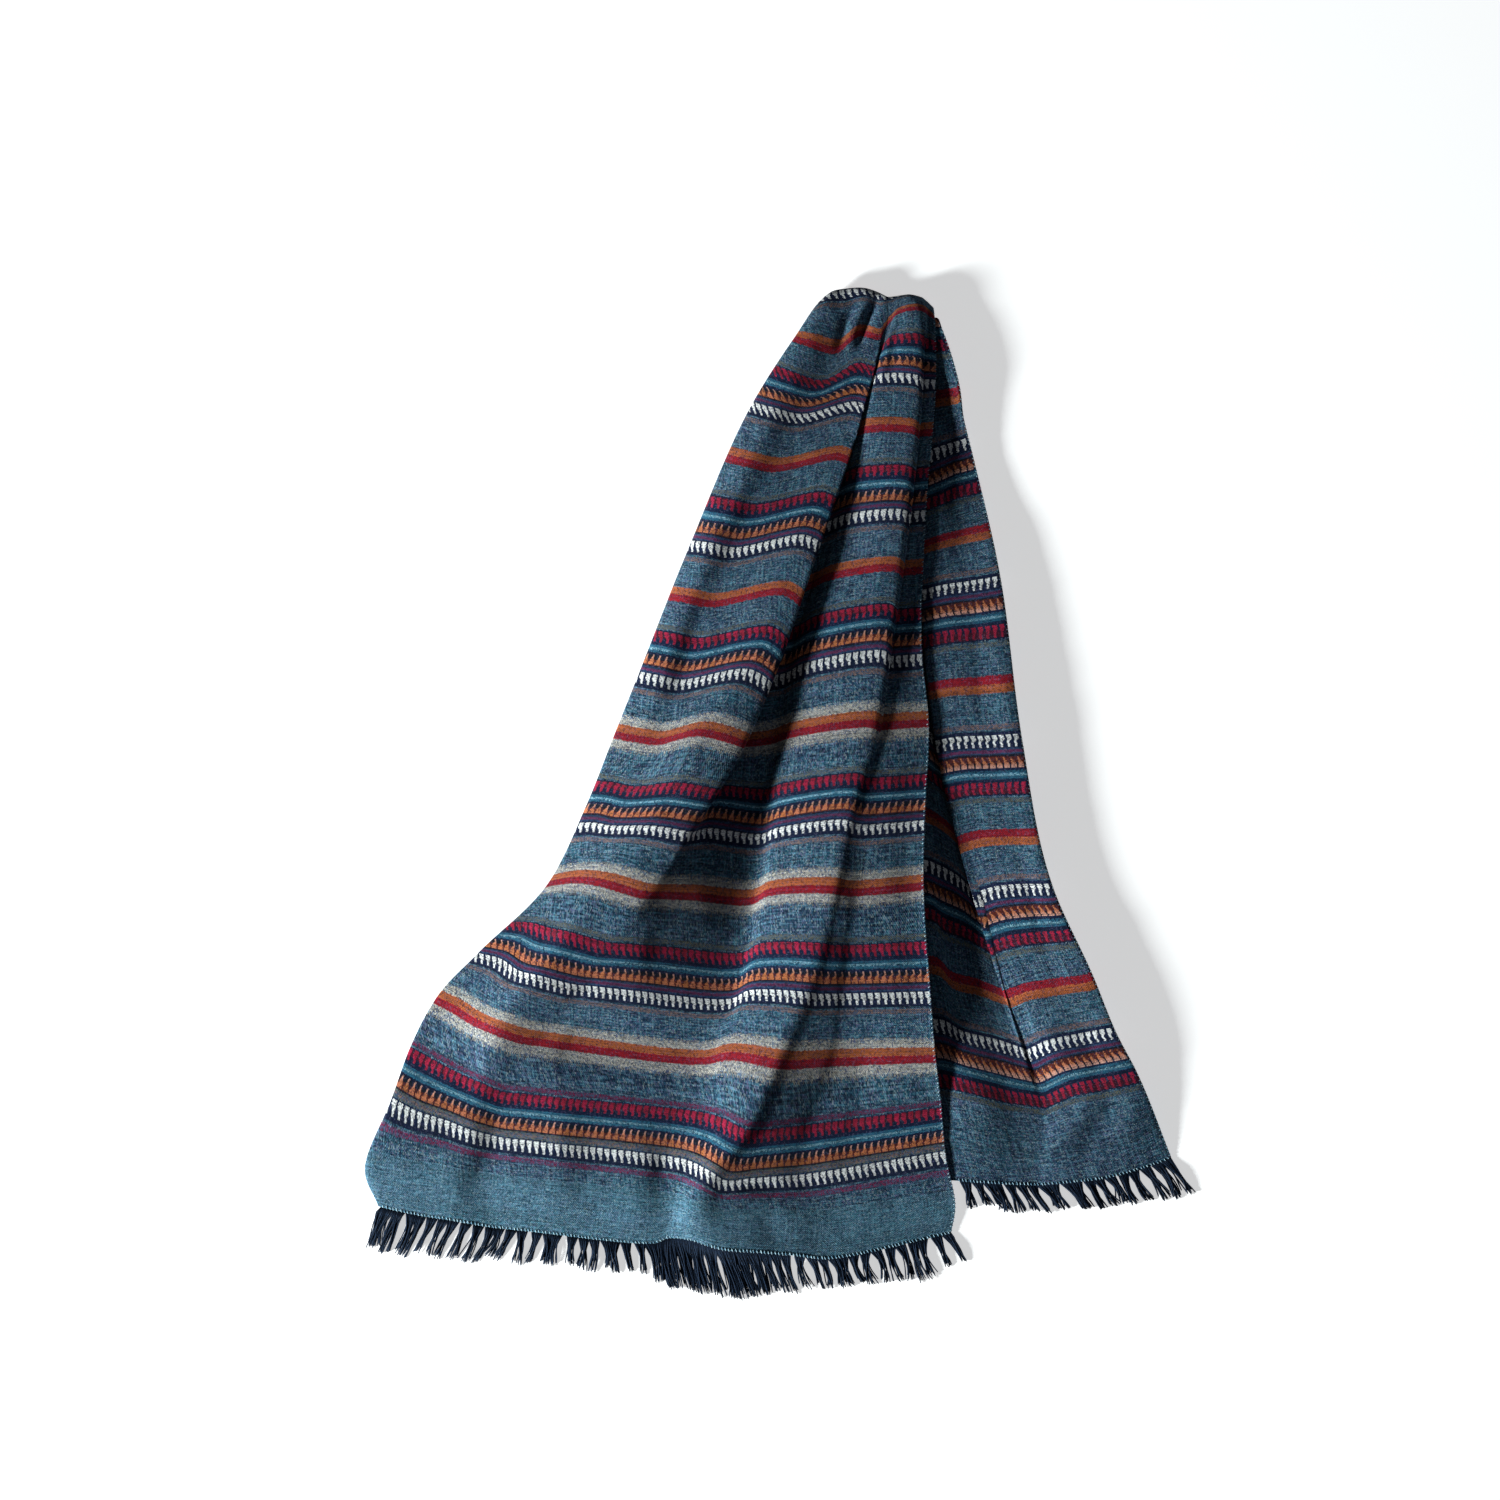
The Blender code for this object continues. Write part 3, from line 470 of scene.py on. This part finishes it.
# A value or a link for each of a node's inputs that is named or numbered.
def fill(node, inputs):
    for name, value in inputs.items():
        if isinstance(value, bpy.types.NodeSocket):
            node.id_data.links.new(value, node.inputs[name])
        else:
            node.inputs[name].default_value = value


def addNode(tree, kind, inputs, **settings):
    node = tree.nodes.new("ShaderNode" + kind)
    for name, value in settings.items():
        setattr(node, name, value)
    fill(node, inputs)
    return node


def calc(tree, operation, *values):
    return addNode(tree, "Math", dict(enumerate(values)), operation=operation).outputs[0]


def blendColours(tree, share, first, second, how="MIX"):
    return addNode(tree, "Mix", {0: share, 6: first, 7: second}, data_type="RGBA", blend_type=how).outputs[2]


def spreadOut(tree, *values, smooth="LINEAR"):
    return addNode(tree, "MapRange", dict(enumerate(values)), interpolation_type=smooth).outputs[0]


# Noise stretched along or across the threads.
def threadNoise(tree, place, across, along, detail):
    stretched = addNode(tree, "Mapping", {"Vector": place, "Scale": (across, along, 1)}).outputs[0]
    return addNode(tree, "TexNoise", {"Vector": stretched, "Scale": 1.0, "Detail": detail},
                   noise_dimensions="2D").outputs[0]


def randomValue(tree, kind, place):
    return addNode(tree, "TexWhiteNoise", {"W" if kind == "1D" else "Vector": place},
                   noise_dimensions=kind).outputs[0]


# The bands of one repeat, and where they are ground.
def stripeRamp(tree, position, hemColours):
    node = addNode(tree, "ValToRGB", {0: position})
    stops = node.color_ramp
    stops.interpolation = "CONSTANT"
    for number, (start, colour) in enumerate(weave["bands"]):
        place = (start - weave["start"]) / weave["repeat"]
        stop = stops.elements[0] if number == 0 else stops.elements.new(place)
        stop.position = place
        stop.color = (*palette[hemColours.get(colour, colour)][:3], 1.0 if colour == "ground" else 0.0)
    stops.elements.remove(stops.elements[-1])
    return node.outputs["Color"], node.outputs["Alpha"]


def between(tree, value, low, high):
    return calc(tree, "MULTIPLY", calc(tree, "GREATER_THAN", value, low),
                calc(tree, "LESS_THAN", value, high))


# A row of woven teeth, stepped in width. Each edge is given at the bottom and at the top of the band, as a
# share of the tooth's pitch.
def toothMask(tree, share, place, tooth, reverse):
    rise = spreadOut(tree, place, *tooth["band"], 0.0, 1.0)
    left = spreadOut(tree, rise, *tooth["step"], *tooth["left"], smooth="SMOOTHSTEP")
    right = spreadOut(tree, rise, 0.0, 1.0, *tooth["right"])
    shown = calc(tree, "ABSOLUTE", calc(tree, "SUBTRACT", between(tree, share, left, right), reverse))
    return calc(tree, "MULTIPLY", shown, between(tree, place, *tooth["band"])), rise


# The brocade. Place is millimetres across and along the cloth, and Reverse is 1 on the wrong side of the
# cloth, where the teeth are woven in the negative.
def brocadeWeave():
    tree = bpy.data.node_groups.new("brocadeWeave", "ShaderNodeTree")
    for name, way, kind in (("Place", "INPUT", "Vector"), ("Reverse", "INPUT", "Float"),
                            ("Colour", "OUTPUT", "Color"), ("Height", "OUTPUT", "Float")):
        tree.interface.new_socket(name=name, in_out=way, socket_type="NodeSocket" + kind)
    given, result = tree.nodes.new("NodeGroupInput").outputs, tree.nodes.new("NodeGroupOutput")
    times, plus, minus, over, most, below, above = (
        partial(calc, tree, operation) for operation in
        ("MULTIPLY", "ADD", "SUBTRACT", "DIVIDE", "MAXIMUM", "LESS_THAN", "GREATER_THAN"))
    floored, sine, fraction = (partial(calc, tree, operation) for operation in ("FLOOR", "SINE", "FRACT"))
    spread, blend, inBand = (partial(made, tree) for made in (spreadOut, blendColours, between))
    place, reverse = given["Place"], given["Reverse"]
    across, along, _ = addNode(tree, "SeparateXYZ", {0: place}).outputs

    # one cell is one thread over another, and has two random values of its own
    column, row = floored(over(across, weave["thread"])), floored(over(along, weave["thread"]))
    cell = addNode(tree, "CombineXYZ", {0: column, 1: row}).outputs[0]
    farCell = addNode(tree, "VectorMath", {0: cell, 1: weave["farCell"]}).outputs[0]
    tones = {name: threadNoise(tree, place, *facts) for name, facts in yarnNoise.items()}
    tones.update(speckle=randomValue(tree, "2D", cell), fleck=randomValue(tree, "2D", farCell),
                 column=randomValue(tree, "1D", column), row=randomValue(tree, "1D", row))
    speckle, fleck = tones["speckle"], tones["fleck"]

    alongRough = plus(along, times(minus(speckle, 0.5), weave["frayAlong"]))
    acrossRough = plus(across, times(minus(tones["row"], 0.5), weave["frayAcross"]))
    inRepeat, steppedInRepeat = (
        calc(tree, "WRAP", minus(length, weave["anchor"]), weave["start"] + weave["repeat"], weave["start"])
        for length in (alongRough, calc(tree, "SNAP", along, weave["thread"])))
    position = over(minus(inRepeat, weave["start"]), weave["repeat"])
    hemPart = below(along, weave["hemBelow"])
    plainEnds = most(below(along, weave["plainBelow"]), above(along, weave["plainAbove"]))
    plain, plainGround = stripeRamp(tree, position, {})
    hem, _ = stripeRamp(tree, position, weave["hemBands"])
    colour = blend(hemPart, plain, hem)
    groundShare = most(plainGround, plainEnds)

    ground = palette["ground"]
    for tone, start, full, share, name in groundTones:
        ground = blend(spread(tones[tone], start, full, 0.0, share), ground, palette[name])
    # painted light: the ground near the front hem is painted paler on the face, where the hem tilts towards
    # the lamp; the reverse stays plain
    paintedHemLight = weave["paintedHemLight"]
    paintedHemShare = minus(paintedHemLight["share"], times(reverse, paintedHemLight["share"]))
    ground = blend(times(below(along, paintedHemLight["below"]), paintedHemShare), ground, palette["groundPale"])

    # the silver yarns on both sides of the red and orange are thinned out into the ground
    facts = weave["silver"]
    silver = times(spread(inRepeat, *facts["start"], 0.0, 1.0), spread(inRepeat, *facts["end"], 1.0, 0.0))
    grain = spread(tones["grain"], *yarnShares["silver"])
    silver = reduce(times, (above(silver, times(speckle, facts["thinning"])), below(along, facts["below"]),
                            above(along, weave["plainBelow"]), grain))
    silverYarn = blend(spread(fleck, *yarnShares["silverDeep"]), palette["silver"], palette["silverDeep"])
    colour = blend(groundShare, colour, blend(silver, ground, silverYarn))

    # faint lines, the broken pale line in the teal band, and stray yarns in the narrow bands
    lines = reduce(most, [inBand(inRepeat, *line) for line in weave["faintLines"]]
                   + [times(inBand(inRepeat, *weave["hemLine"]), hemPart)])
    colour = blend(times(lines, spread(fleck, *yarnShares["lines"])), colour, palette["ground"])
    ice = next(start for start, name in weave["bands"] if name == "ice")
    broken = times(inBand(inRepeat, ice, ice + weave["iceWidth"]), spread(fleck, *yarnShares["brokenIce"]))
    colour = blend(broken, colour, palette["teal"])
    stray = times(minus(1.0, groundShare), spread(fleck, *yarnShares["stray"]))
    colour = blend(stray, colour, palette["groundLilac"])

    # teeth, which lean near the front hem, where the cloth is pulled
    lean = times(hemPart, spread(across, *weave["hemPull"]))
    share = fraction(over(plus(acrossRough, times(lean, steppedInRepeat)), weave["tooth"]))
    chance = randomValue(tree, "1D", floored(over(across, weave["tooth"])))
    (white, _), (orange, orangeRise), (pink, _) = (
        toothMask(tree, share, steppedInRepeat, weave[tooth], reverse)
        for tooth in ("white", "orange", "pink"))
    orangeYarn = blend(chance, palette["apricot"], palette["ochre"])
    orangeYarn = blend(spread(orangeRise, *yarnShares["orangeTips"]), orangeYarn, palette["lilac"])
    pinkYarn = blend(chance, palette["cerise"], palette["scarlet"])
    teeth = minus(1.0, plainEnds)
    for mask, yarn in ((white, palette["bone"]), (orange, orangeYarn), (pink, pinkYarn)):
        colour = blend(times(mask, teeth), colour, yarn)
    floats = times(teeth, plus(white, plus(orange, pink)))

    # the navy warp shows between the weft threads
    turn = math.pi / weave["thread"]
    crossing = times(sine(times(across, turn)), sine(times(along, turn)))
    warp = times(spread(crossing, *yarnShares["warp"]), minus(1.0, times(floats, weave["floatCover"])))
    warp = most(warp, spread(speckle, *yarnShares["warpSpecks"]))
    colour = blend(warp, colour, palette["navy"])
    shade = plus(spread(tones["picks"], *yarnShares["shade"]),
                 plus(times(tones["row"], weave["rowShade"]), times(speckle, weave["speckleShade"])))
    grey = addNode(tree, "CombineXYZ", {0: shade, 1: shade, 2: shade}).outputs[0]
    tones.update(crossing=crossing, floats=floats)
    height = reduce(plus, [times(tones[name], rise) for name, rise in weave["relief"].items()])
    fill(result, {"Colour": blend(1.0, colour, grey, "MULTIPLY"), "Height": height})
    return tree


brocade = brocadeWeave()
wovenFinish = dict(roughness=0.86, sheen=0.08, sheenRoughness=0.45, gloss=0.12, relief=0.35)
yarnFinish = dict(sheenRoughness=0.5, gloss=0.12, detail=2.0, shares=(0.35, 0.68, 0.0, 1.0))
finishes = dict(
    brocadeFace=dict(wovenFinish, reverse=0.0), brocadeReverse=dict(wovenFinish, reverse=1.0),
    hiddenFolds=dict(wovenFinish, reverse=1.0, shift=(300, 700, 0)),
    fringeYarn=dict(yarnFinish, dark=screen(2, 9, 24), light=screen(16, 40, 66), roughness=0.8, sheen=0.1,
                    relief=0.2, twist=0.9),
    hemStitch=dict(yarnFinish, dark=screen(64, 112, 140), light=screen(184, 214, 224), roughness=0.7,
                   sheen=0.2, relief=0.15, twist=0.5))


# A place on the object, in millimetres.
def objectPlace(tree, shift=(0, 0, 0)):
    place = addNode(tree, "TexCoord", {}).outputs["Object"]
    scale = [1 / plan["millimetre"]] * 3
    return addNode(tree, "Mapping", {"Vector": place, "Location": shift, "Scale": scale}).outputs[0]


# Woven cloth. A finish with a shift is woven by the place on the object, and the others by the piece's map.
def woven(tree, facts):
    place = (objectPlace(tree, facts["shift"]) if "shift" in facts
             else addNode(tree, "UVMap", {}, uv_map="weave").outputs[0])
    return addNode(tree, "Group", {"Place": place, "Reverse": facts["reverse"]}, node_tree=brocade).outputs


def twisted(tree, facts):
    fibres = addNode(tree, "TexNoise", {"Vector": objectPlace(tree), "Scale": facts["twist"],
                                        "Detail": facts["detail"]}).outputs[0]
    share = spreadOut(tree, fibres, *facts["shares"])
    return blendColours(tree, share, facts["dark"], facts["light"]), fibres


# A material whose colour and height are drawn by one of the two functions above.
def newMaterial(name, pattern):
    made, facts = bpy.data.materials.new(name), finishes[name]
    made.use_nodes = True
    tree = made.node_tree
    colour, height = pattern(tree, facts)
    bump = addNode(tree, "Bump", {"Distance": facts["relief"] * plan["millimetre"], "Height": height})
    fill(tree.nodes["Principled BSDF"], {
        "Base Color": colour, "Normal": bump.outputs[0], "Roughness": facts["roughness"],
        "Specular IOR Level": facts["gloss"], "Sheen Weight": facts["sheen"],
        "Sheen Roughness": facts["sheenRoughness"]})
    return made


brocadeFace, brocadeReverse, hiddenFolds = (
    newMaterial(name, woven) for name in ("brocadeFace", "brocadeReverse", "hiddenFolds"))
fringeYarn, hemStitch = newMaterial("fringeYarn", twisted), newMaterial("hemStitch", twisted)
print("materials made")


# The falls

# The repeats nearest the front hem are woven further apart, and all of that is in their plain ground, so the
# weave is drawn on an even repeat: cloth length against its place in the drawing.
wovenLengths = dict(
    cloth=(0, 148, 179, 211, 235, 319, 350, 383, 407, 491, 522, 555, 578, 1000, 1047, 1070, 1952),
    drawn=(59, 207, 224, 256, 274, 358, 375, 408, 426, 510, 527, 560, 578, 1000, 1055, 1070, 1952))


def wovenPlace(grid, lengths):
    steps = np.linalg.norm(np.diff(grid, axis=1), axis=2)
    fromRight = np.cumsum(steps[:, ::-1], axis=1)[:, ::-1]
    across = scarf["cutWidth"] - np.pad(fromRight, ((0, 0), (0, 1)))
    along = np.interp(lengths, wovenLengths["cloth"], wovenLengths["drawn"])
    return np.stack([across, np.repeat(along[:, None], grid.shape[1], axis=1)], axis=2)


bakeArea = dict(faceWidth=0.70, reverseStart=0.73, reverseWidth=0.26, margin=0.01, rim=0.004, level=1e-5)


def bentGrid(source, grid):
    rows, columns = grid.shape[:2]
    made = bmesh.ops.create_grid(source, x_segments=columns - 1, y_segments=rows - 1, size=1)
    for number, vertex in enumerate(made["verts"]):
        vertex.co = Vector(grid[number // columns, number % columns]) * plan["millimetre"]
        vertex.index = number


def newObject(name, data):
    made = bpy.data.objects.new(name, data)
    bpy.context.collection.objects.link(made)
    return made


def newPiece(name, source, *finishesInOrder):
    mesh = bpy.data.meshes.new(name)
    source.to_mesh(mesh)
    source.free()
    for finish in finishesInOrder:
        mesh.materials.append(finish)
    return newObject(name, mesh)


# The mesh of an object with its modifiers or its curve worked out.
def workedOut(piece):
    return bpy.data.meshes.new_from_object(piece.evaluated_get(bpy.context.evaluated_depsgraph_get()))


# The hidden layers as one closed body, flat below.
def layersPiece(name, grid, finish):
    source = bmesh.new()
    bentGrid(source, grid)
    for part in bmesh.ops.extrude_face_region(source, geom=source.faces[:])["geom"]:
        if isinstance(part, bmesh.types.BMVert):
            part.co.z = innerLayers["base"] * plan["millimetre"]
    bmesh.ops.recalc_face_normals(source, faces=source.faces)
    return newPiece(name, source, finish)


# A sheet of cloth on a grid of middle points: its face, its reverse and the cut edge between them.
def clothPiece(name, grid, lengths, topFinish, underFinish):
    rows, columns = grid.shape[:2]
    place = wovenPlace(grid, lengths)
    source = bmesh.new()
    bentGrid(source, grid)
    weaveMap = source.loops.layers.uv.new("weave")
    bakeMap = source.loops.layers.uv.new("OFBake")
    margin = bakeArea["margin"]
    for face in source.faces:
        face.smooth = True
        for loop in face.loops:
            row, column = divmod(loop.vert.index, columns)
            loop[weaveMap].uv = place[row, column]
            loop[bakeMap].uv = (margin + bakeArea["faceWidth"] * column / (columns - 1),
                                margin + (1 - 2 * margin) * row / (rows - 1))
    sheet = newPiece(name, source, topFinish, underFinish, topFinish)
    solid = sheet.modifiers.new("clothThickness", "SOLIDIFY")
    solid.thickness = scarf["thickness"] * plan["millimetre"]
    solid.offset = 0.0
    solid.material_offset, solid.material_offset_rim = 1, 2
    thick = workedOut(sheet)
    sheet.modifiers.clear()
    sheet.data = thick
    thick.name = name
    thick.set_sharp_from_angle(angle=scarf["sharpRim"])
    spreadBakeMap(thick)
    return sheet


# Gives the reverse and the cut edges their own part of the bake map.
def spreadBakeMap(mesh):
    uv = mesh.uv_layers["OFBake"].data
    under = set()
    for face in mesh.polygons:
        if face.material_index == 1:
            under.update(face.vertices)
            for loop in face.loop_indices:
                share = (uv[loop].uv.x - bakeArea["margin"]) / bakeArea["faceWidth"]
                uv[loop].uv.x = bakeArea["reverseStart"] + share * bakeArea["reverseWidth"]
    middle = (bakeArea["margin"] + bakeArea["faceWidth"] / 2, 0.5)
    for face in mesh.polygons:
        if face.material_index == 2:
            heights = [uv[loop].uv.y for loop in face.loop_indices]
            axis = 0 if max(heights) - min(heights) > bakeArea["level"] else 1
            for loop, vertex in zip(face.loop_indices, face.vertices):
                if vertex in under:
                    uv[loop].uv[axis] += bakeArea["rim"] * (1 if uv[loop].uv[axis] > middle[axis] else -1)
            face.material_index = 0


frontCloth = clothPiece("frontCloth", frontGrid, frontLengths, brocadeFace, brocadeReverse)
backCloth = clothPiece("backCloth", backGrid, scarf["cutLength"] - backLengths, brocadeReverse, brocadeFace)
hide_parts("front_fall")
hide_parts("back_fall")
innerFolds = layersPiece("innerFolds", innerGrid(), hiddenFolds)
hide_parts("inner_folds")
print("falls made:", len(frontCloth.data.polygons), "and", len(backCloth.data.polygons), "faces")


# Fringe and stitches

# The point this far along a run of points, and the direction there.
def pointAlong(points, lengths, distance):
    for k in range(len(points) - 1):
        if distance <= lengths[k + 1] or k == len(points) - 2:
            share = (distance - lengths[k]) / (lengths[k + 1] - lengths[k])
            return mixed(points[k], points[k + 1], share), (points[k + 1] - points[k]).normalized()


# Four-sided threads along paths of points, as one mesh. swell is the thread's width there, as a share.
def threadPiece(name, paths, radius, finish):
    curve = bpy.data.curves.new(name, "CURVE")
    curve.dimensions = "3D"
    curve.bevel_depth = radius * plan["millimetre"]
    curve.bevel_resolution = 0
    curve.use_fill_caps = True
    for path in paths:
        spline = curve.splines.new("POLY")
        spline.points.add(len(path) - 1)
        for point, (*spot, swell) in zip(spline.points, path):
            point.co = (*(place * plan["millimetre"] for place in spot), 1)
            point.radius = swell
    drawn = newObject(name + "Path", curve)
    mesh = workedOut(drawn)
    bpy.data.objects.remove(drawn)
    bpy.data.curves.remove(curve)
    source = bmesh.new()
    source.from_mesh(mesh)
    bpy.data.meshes.remove(mesh)
    bmesh.ops.remove_doubles(source, verts=source.verts, dist=1e-7)
    bmesh.ops.recalc_face_normals(source, faces=source.faces)
    for face in source.faces:
        face.smooth = True
    return newPiece(name, source, finish)


frontFringe = dict(
    name="frontFringe", locks=50, yarns=15, seed=11, radius=0.6, bunches=((379, 402, 3), (654, 768, 16)),
    root=(379, 400, 450, 500, 560, 632, 655, 690, 718, 755, 813, 870, 905, 933, 951),
    across=(366, 384, 432, 487, 557, 634, 664, 702, 731, 768, 822, 881, 916, 948, 967),
    down=(1244, 1249, 1256, 1259, 1266, 1270, 1281, 1288, 1294, 1291, 1287, 1283, 1279, 1271, 1257))
backFringe = dict(
    name="backFringe", locks=19, yarns=13, seed=23, radius=0.75, bunches=(),
    root=(957, 980, 1010, 1050, 1066, 1097, 1115, 1145, 1160, 1171),
    across=(966, 992, 1024, 1066, 1082, 1113, 1131, 1163, 1184, 1197),
    down=(1205, 1207, 1212, 1206, 1210, 1204, 1202, 1201, 1196, 1187))
yarnLay = dict(
    rootSpread=11.6, neckSpread=6.2, tipSpread=8.5, tipOpen=0.5, neck=0.34, lift=2.6, points=7,
    place=(-0.2, 0.2), bunchPlace=(-0.3, 0.3), sway=(-4, 4), swayDown=(-3.5, 3), bow=(-2.5, 2.5),
    tightness=(0.6, 1.4), tip=(-0.5, 0.5), longer=(-0.14, 0.08), wave=(0.2, 1), waveTurn=5,
    phase=(0, 6.28), layer=(0.4, 0.6), fall=0.25, clear=0.1, thinFrom=0.9, thinTip=0.8)


# How far along the hem each lock hangs. A bunch has more locks than the rest.
def lockPlaces(hem, lengths, fringe, chance):
    share = 1 / fringe["locks"]
    places = [(lock + 0.5 + chance.uniform(*yarnLay["place"])) * share for lock in range(fringe["locks"])]
    across = [point.x + plan["across"] for point in hem]
    for start, end, more in fringe["bunches"]:
        low, high = (np.interp(place, across, lengths) / lengths[-1] for place in (start, end))
        places += [mixed(low, high, (lock + 0.5 + chance.uniform(*yarnLay["bunchPlace"])) / more)
                   for lock in range(more)]
    return places


# Locks of loose yarn, each drawn together below the hem and open again at its tip.
def fringePiece(hem, fringe, finish):
    chance = random.Random(fringe["seed"])

    def pick(name):
        return chance.uniform(*yarnLay[name])

    lengths = runLengths(hem)
    radius, neck, points = fringe["radius"], yarnLay["neck"], yarnLay["points"]
    paths = []
    for shareAlong in lockPlaces(hem, lengths, fringe, chance):
        middle, run = pointAlong(hem, lengths, shareAlong * lengths[-1])
        place = middle.x + plan["across"]
        swayAcross, swayDown = pick("sway"), pick("swayDown")
        tip = placed(np.interp(place, fringe["root"], fringe["across"]) + swayAcross,
                     np.interp(place, fringe["root"], fringe["down"]) + swayDown, 0)
        bow = pick("bow")
        side = Vector((run.x, run.y, 0)).normalized()
        tightness = pick("tightness")
        for yarn in range(fringe["yarns"]):
            spread = (yarn + 0.5) / fringe["yarns"] - 0.5
            rootSide, neckSide = spread * yarnLay["rootSpread"], spread * yarnLay["neckSpread"]
            rootPlace = min(max(shareAlong * lengths[-1] + rootSide, 0.0), lengths[-1])
            root, _ = pointAlong(hem, lengths, rootPlace)
            tipSide = (pick("tip") + yarnLay["tipOpen"] * spread) * yarnLay["tipSpread"] * tightness
            longer = 1 + pick("longer")
            wave, phase = pick("wave"), pick("phase")
            layer = chance.uniform(0, yarnLay["lift"])
            path = []
            for k in range(points):
                share = k / (points - 1)
                arch = math.sin(math.pi * share)
                offset = (mixed(rootSide, neckSide, share / neck) if share < neck
                          else mixed(neckSide, tipSide, (share - neck) / (1 - neck)))
                offset += bow * arch + wave * math.sin(yarnLay["waveTurn"] * share + phase) * share
                low, more = yarnLay["layer"]
                height = mixed(root.z, radius + layer * (low + more * arch), min(share / yarnLay["fall"], 1))
                spot = mixed(middle, tip, share * longer) + side * offset if k else root
                path.append((spot.x, spot.y, max(height, radius + yarnLay["clear"]),
                             1.0 if share < yarnLay["thinFrom"] else yarnLay["thinTip"]))
            paths.append(path)
    return threadPiece(fringe["name"], paths, radius, finish)


leftColumn = frontColumn("left") * frontFall["finer"]
frontHem = [Vector(point) for point in frontGrid[0][leftColumn + frontFall["hemStart"]:]]
backShown = backGrid[0][:, 0] + plan["across"] >= backFringe["root"][0]
backHem = [Vector(point) for point in backGrid[0][backShown]]
frontYarns = fringePiece(frontHem, frontFringe, fringeYarn)
backYarns = fringePiece(backHem, backFringe, fringeYarn)
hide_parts("front_fringe")
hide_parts("back_fringe")

stitchWay = dict(
    slant=1.3, leans=(-0.5, -0.2, 0.2, 0.4, 0.6), onCloth=0.6, middle=0.55, crown=0.25, inside=0.2,
    beyond=0.15, under=0.6, drop=0.9, spacing=(-0.15, 0.15), reach=(0.85, 1.15), clear=0.05, turnedRows=10)
stitchRows = (
    dict(name="frontHemStitches", edge=frontHem, pitch=3.6, reach=2.4, radius=0.42, seed=3),
    dict(name="backHemStitches", edge=backHem, pitch=3.6, reach=2.4, radius=0.42, seed=4),
    dict(name="frontSelvageStitches", edge=frontGrid[:-stitchWay["turnedRows"], -1], pitch=4.6, reach=1.8,
         radius=0.34, seed=5),
    dict(name="backSelvageStitches", edge=backGrid[:, -1], pitch=4.6, reach=1.4, radius=0.3, seed=6))


# Slanted overcast stitches over an edge of the cloth, from its face round the edge to just below it.
def stitchPiece(name, edge, pitch, reach, radius, seed):
    chance = random.Random(seed)
    edge = [Vector(point) for point in edge]
    lengths = runLengths(edge)
    top = scarf["thickness"] / 2 + radius * stitchWay["onCloth"]
    paths = []
    for number in range(int(lengths[-1] / pitch)):
        distance = (number + 0.5 + chance.uniform(*stitchWay["spacing"])) * pitch
        spot, run = pointAlong(edge, lengths, distance)
        into = Vector((-run.y, run.x, 0)).normalized()
        longer = reach * chance.uniform(*stitchWay["reach"])
        inward = (longer, longer * stitchWay["middle"], stitchWay["inside"], -radius - stitchWay["beyond"],
                  stitchWay["under"])
        heights = (top * stitchWay["onCloth"], top + stitchWay["crown"], top, 0, -stitchWay["drop"])
        path = [spot + into * way + run * stitchWay["slant"] * lean + Vector((0, 0, height))
                for way, lean, height in zip(inward, stitchWay["leans"], heights)]
        paths.append([(p.x, p.y, max(p.z, radius + stitchWay["clear"]), 1.0) for p in path])
    return threadPiece(name, paths, radius, hemStitch)


frontHemStitches, backHemStitches, frontSelvage, backSelvage = (stitchPiece(**row) for row in stitchRows)
print("fringe and stitches made")

for piece, slot in (
        (frontCloth, "brocade"), (innerFolds, "brocade"), (backCloth, "brocade_reverse"),
        (frontYarns, "fringe_yarn"), (backYarns, "fringe_yarn"), (frontHemStitches, "brocade"),
        (backHemStitches, "brocade"), (frontSelvage, "brocade"), (backSelvage, "brocade")):
    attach(piece, "root")


# Floor, light and camera

studio = dict(floorSize=8.0, floorColour=(0.9, 0.9, 0.9, 1.0), floorRoughness=0.9, floorGlow=0.62,
              skyColour=(0.93, 0.96, 1.0, 1.0), skyStrength=0.05,
              viewAcross=750.0, viewDown=750.0, viewField=1.5, viewLens=135.0, viewReach=30.0)

floorPaper = bpy.data.materials.new("floorPaper")
floorPaper.use_nodes = True
fill(floorPaper.node_tree.nodes["Principled BSDF"], {
    "Base Color": studio["floorColour"], "Roughness": studio["floorRoughness"],
    "Emission Color": studio["floorColour"], "Emission Strength": studio["floorGlow"]})
flat = bmesh.new()
bmesh.ops.create_grid(flat, x_segments=1, y_segments=1, size=studio["floorSize"] / 2)
newPiece("floor", flat, floorPaper)

world = bpy.data.worlds.new("studioSky")
bpy.context.scene.world = world
world.use_nodes = True
fill(world.node_tree.nodes["Background"], {"Color": studio["skyColour"], "Strength": studio["skyStrength"]})

lamps = (
    dict(name="keyLight", place=(-3.15, -1.47, 0.93), size=0.5, power=385, colour=(0.94, 1.0, 1.0)),
    dict(name="rightLight", place=(3.0, 0.2, 1.6), size=1.6, power=6, colour=(0.74, 0.84, 1.0)))
for lamp in lamps:
    light = bpy.data.lights.new(lamp["name"], "AREA")
    light.shape = "SQUARE"
    light.size = lamp["size"]
    light.energy = lamp["power"]
    light.color = lamp["colour"]
    hung = newObject(lamp["name"], light)
    hung.location = lamp["place"]
    hung.rotation_euler = (-Vector(lamp["place"])).to_track_quat("-Z", "Y").to_euler()

lens = bpy.data.cameras.new("camera")
lens.lens = studio["viewLens"]
lens.clip_end = studio["viewReach"]
camera = bpy.context.scene.camera = newObject("camera", lens)
aim = placed(studio["viewAcross"], studio["viewDown"], 0) * plan["millimetre"]
camera.location = (aim.x, aim.y, studio["viewField"] * studio["viewLens"] / lens.sensor_width)
bpy.context.scene.view_settings.view_transform = "Standard"
print("studio set")
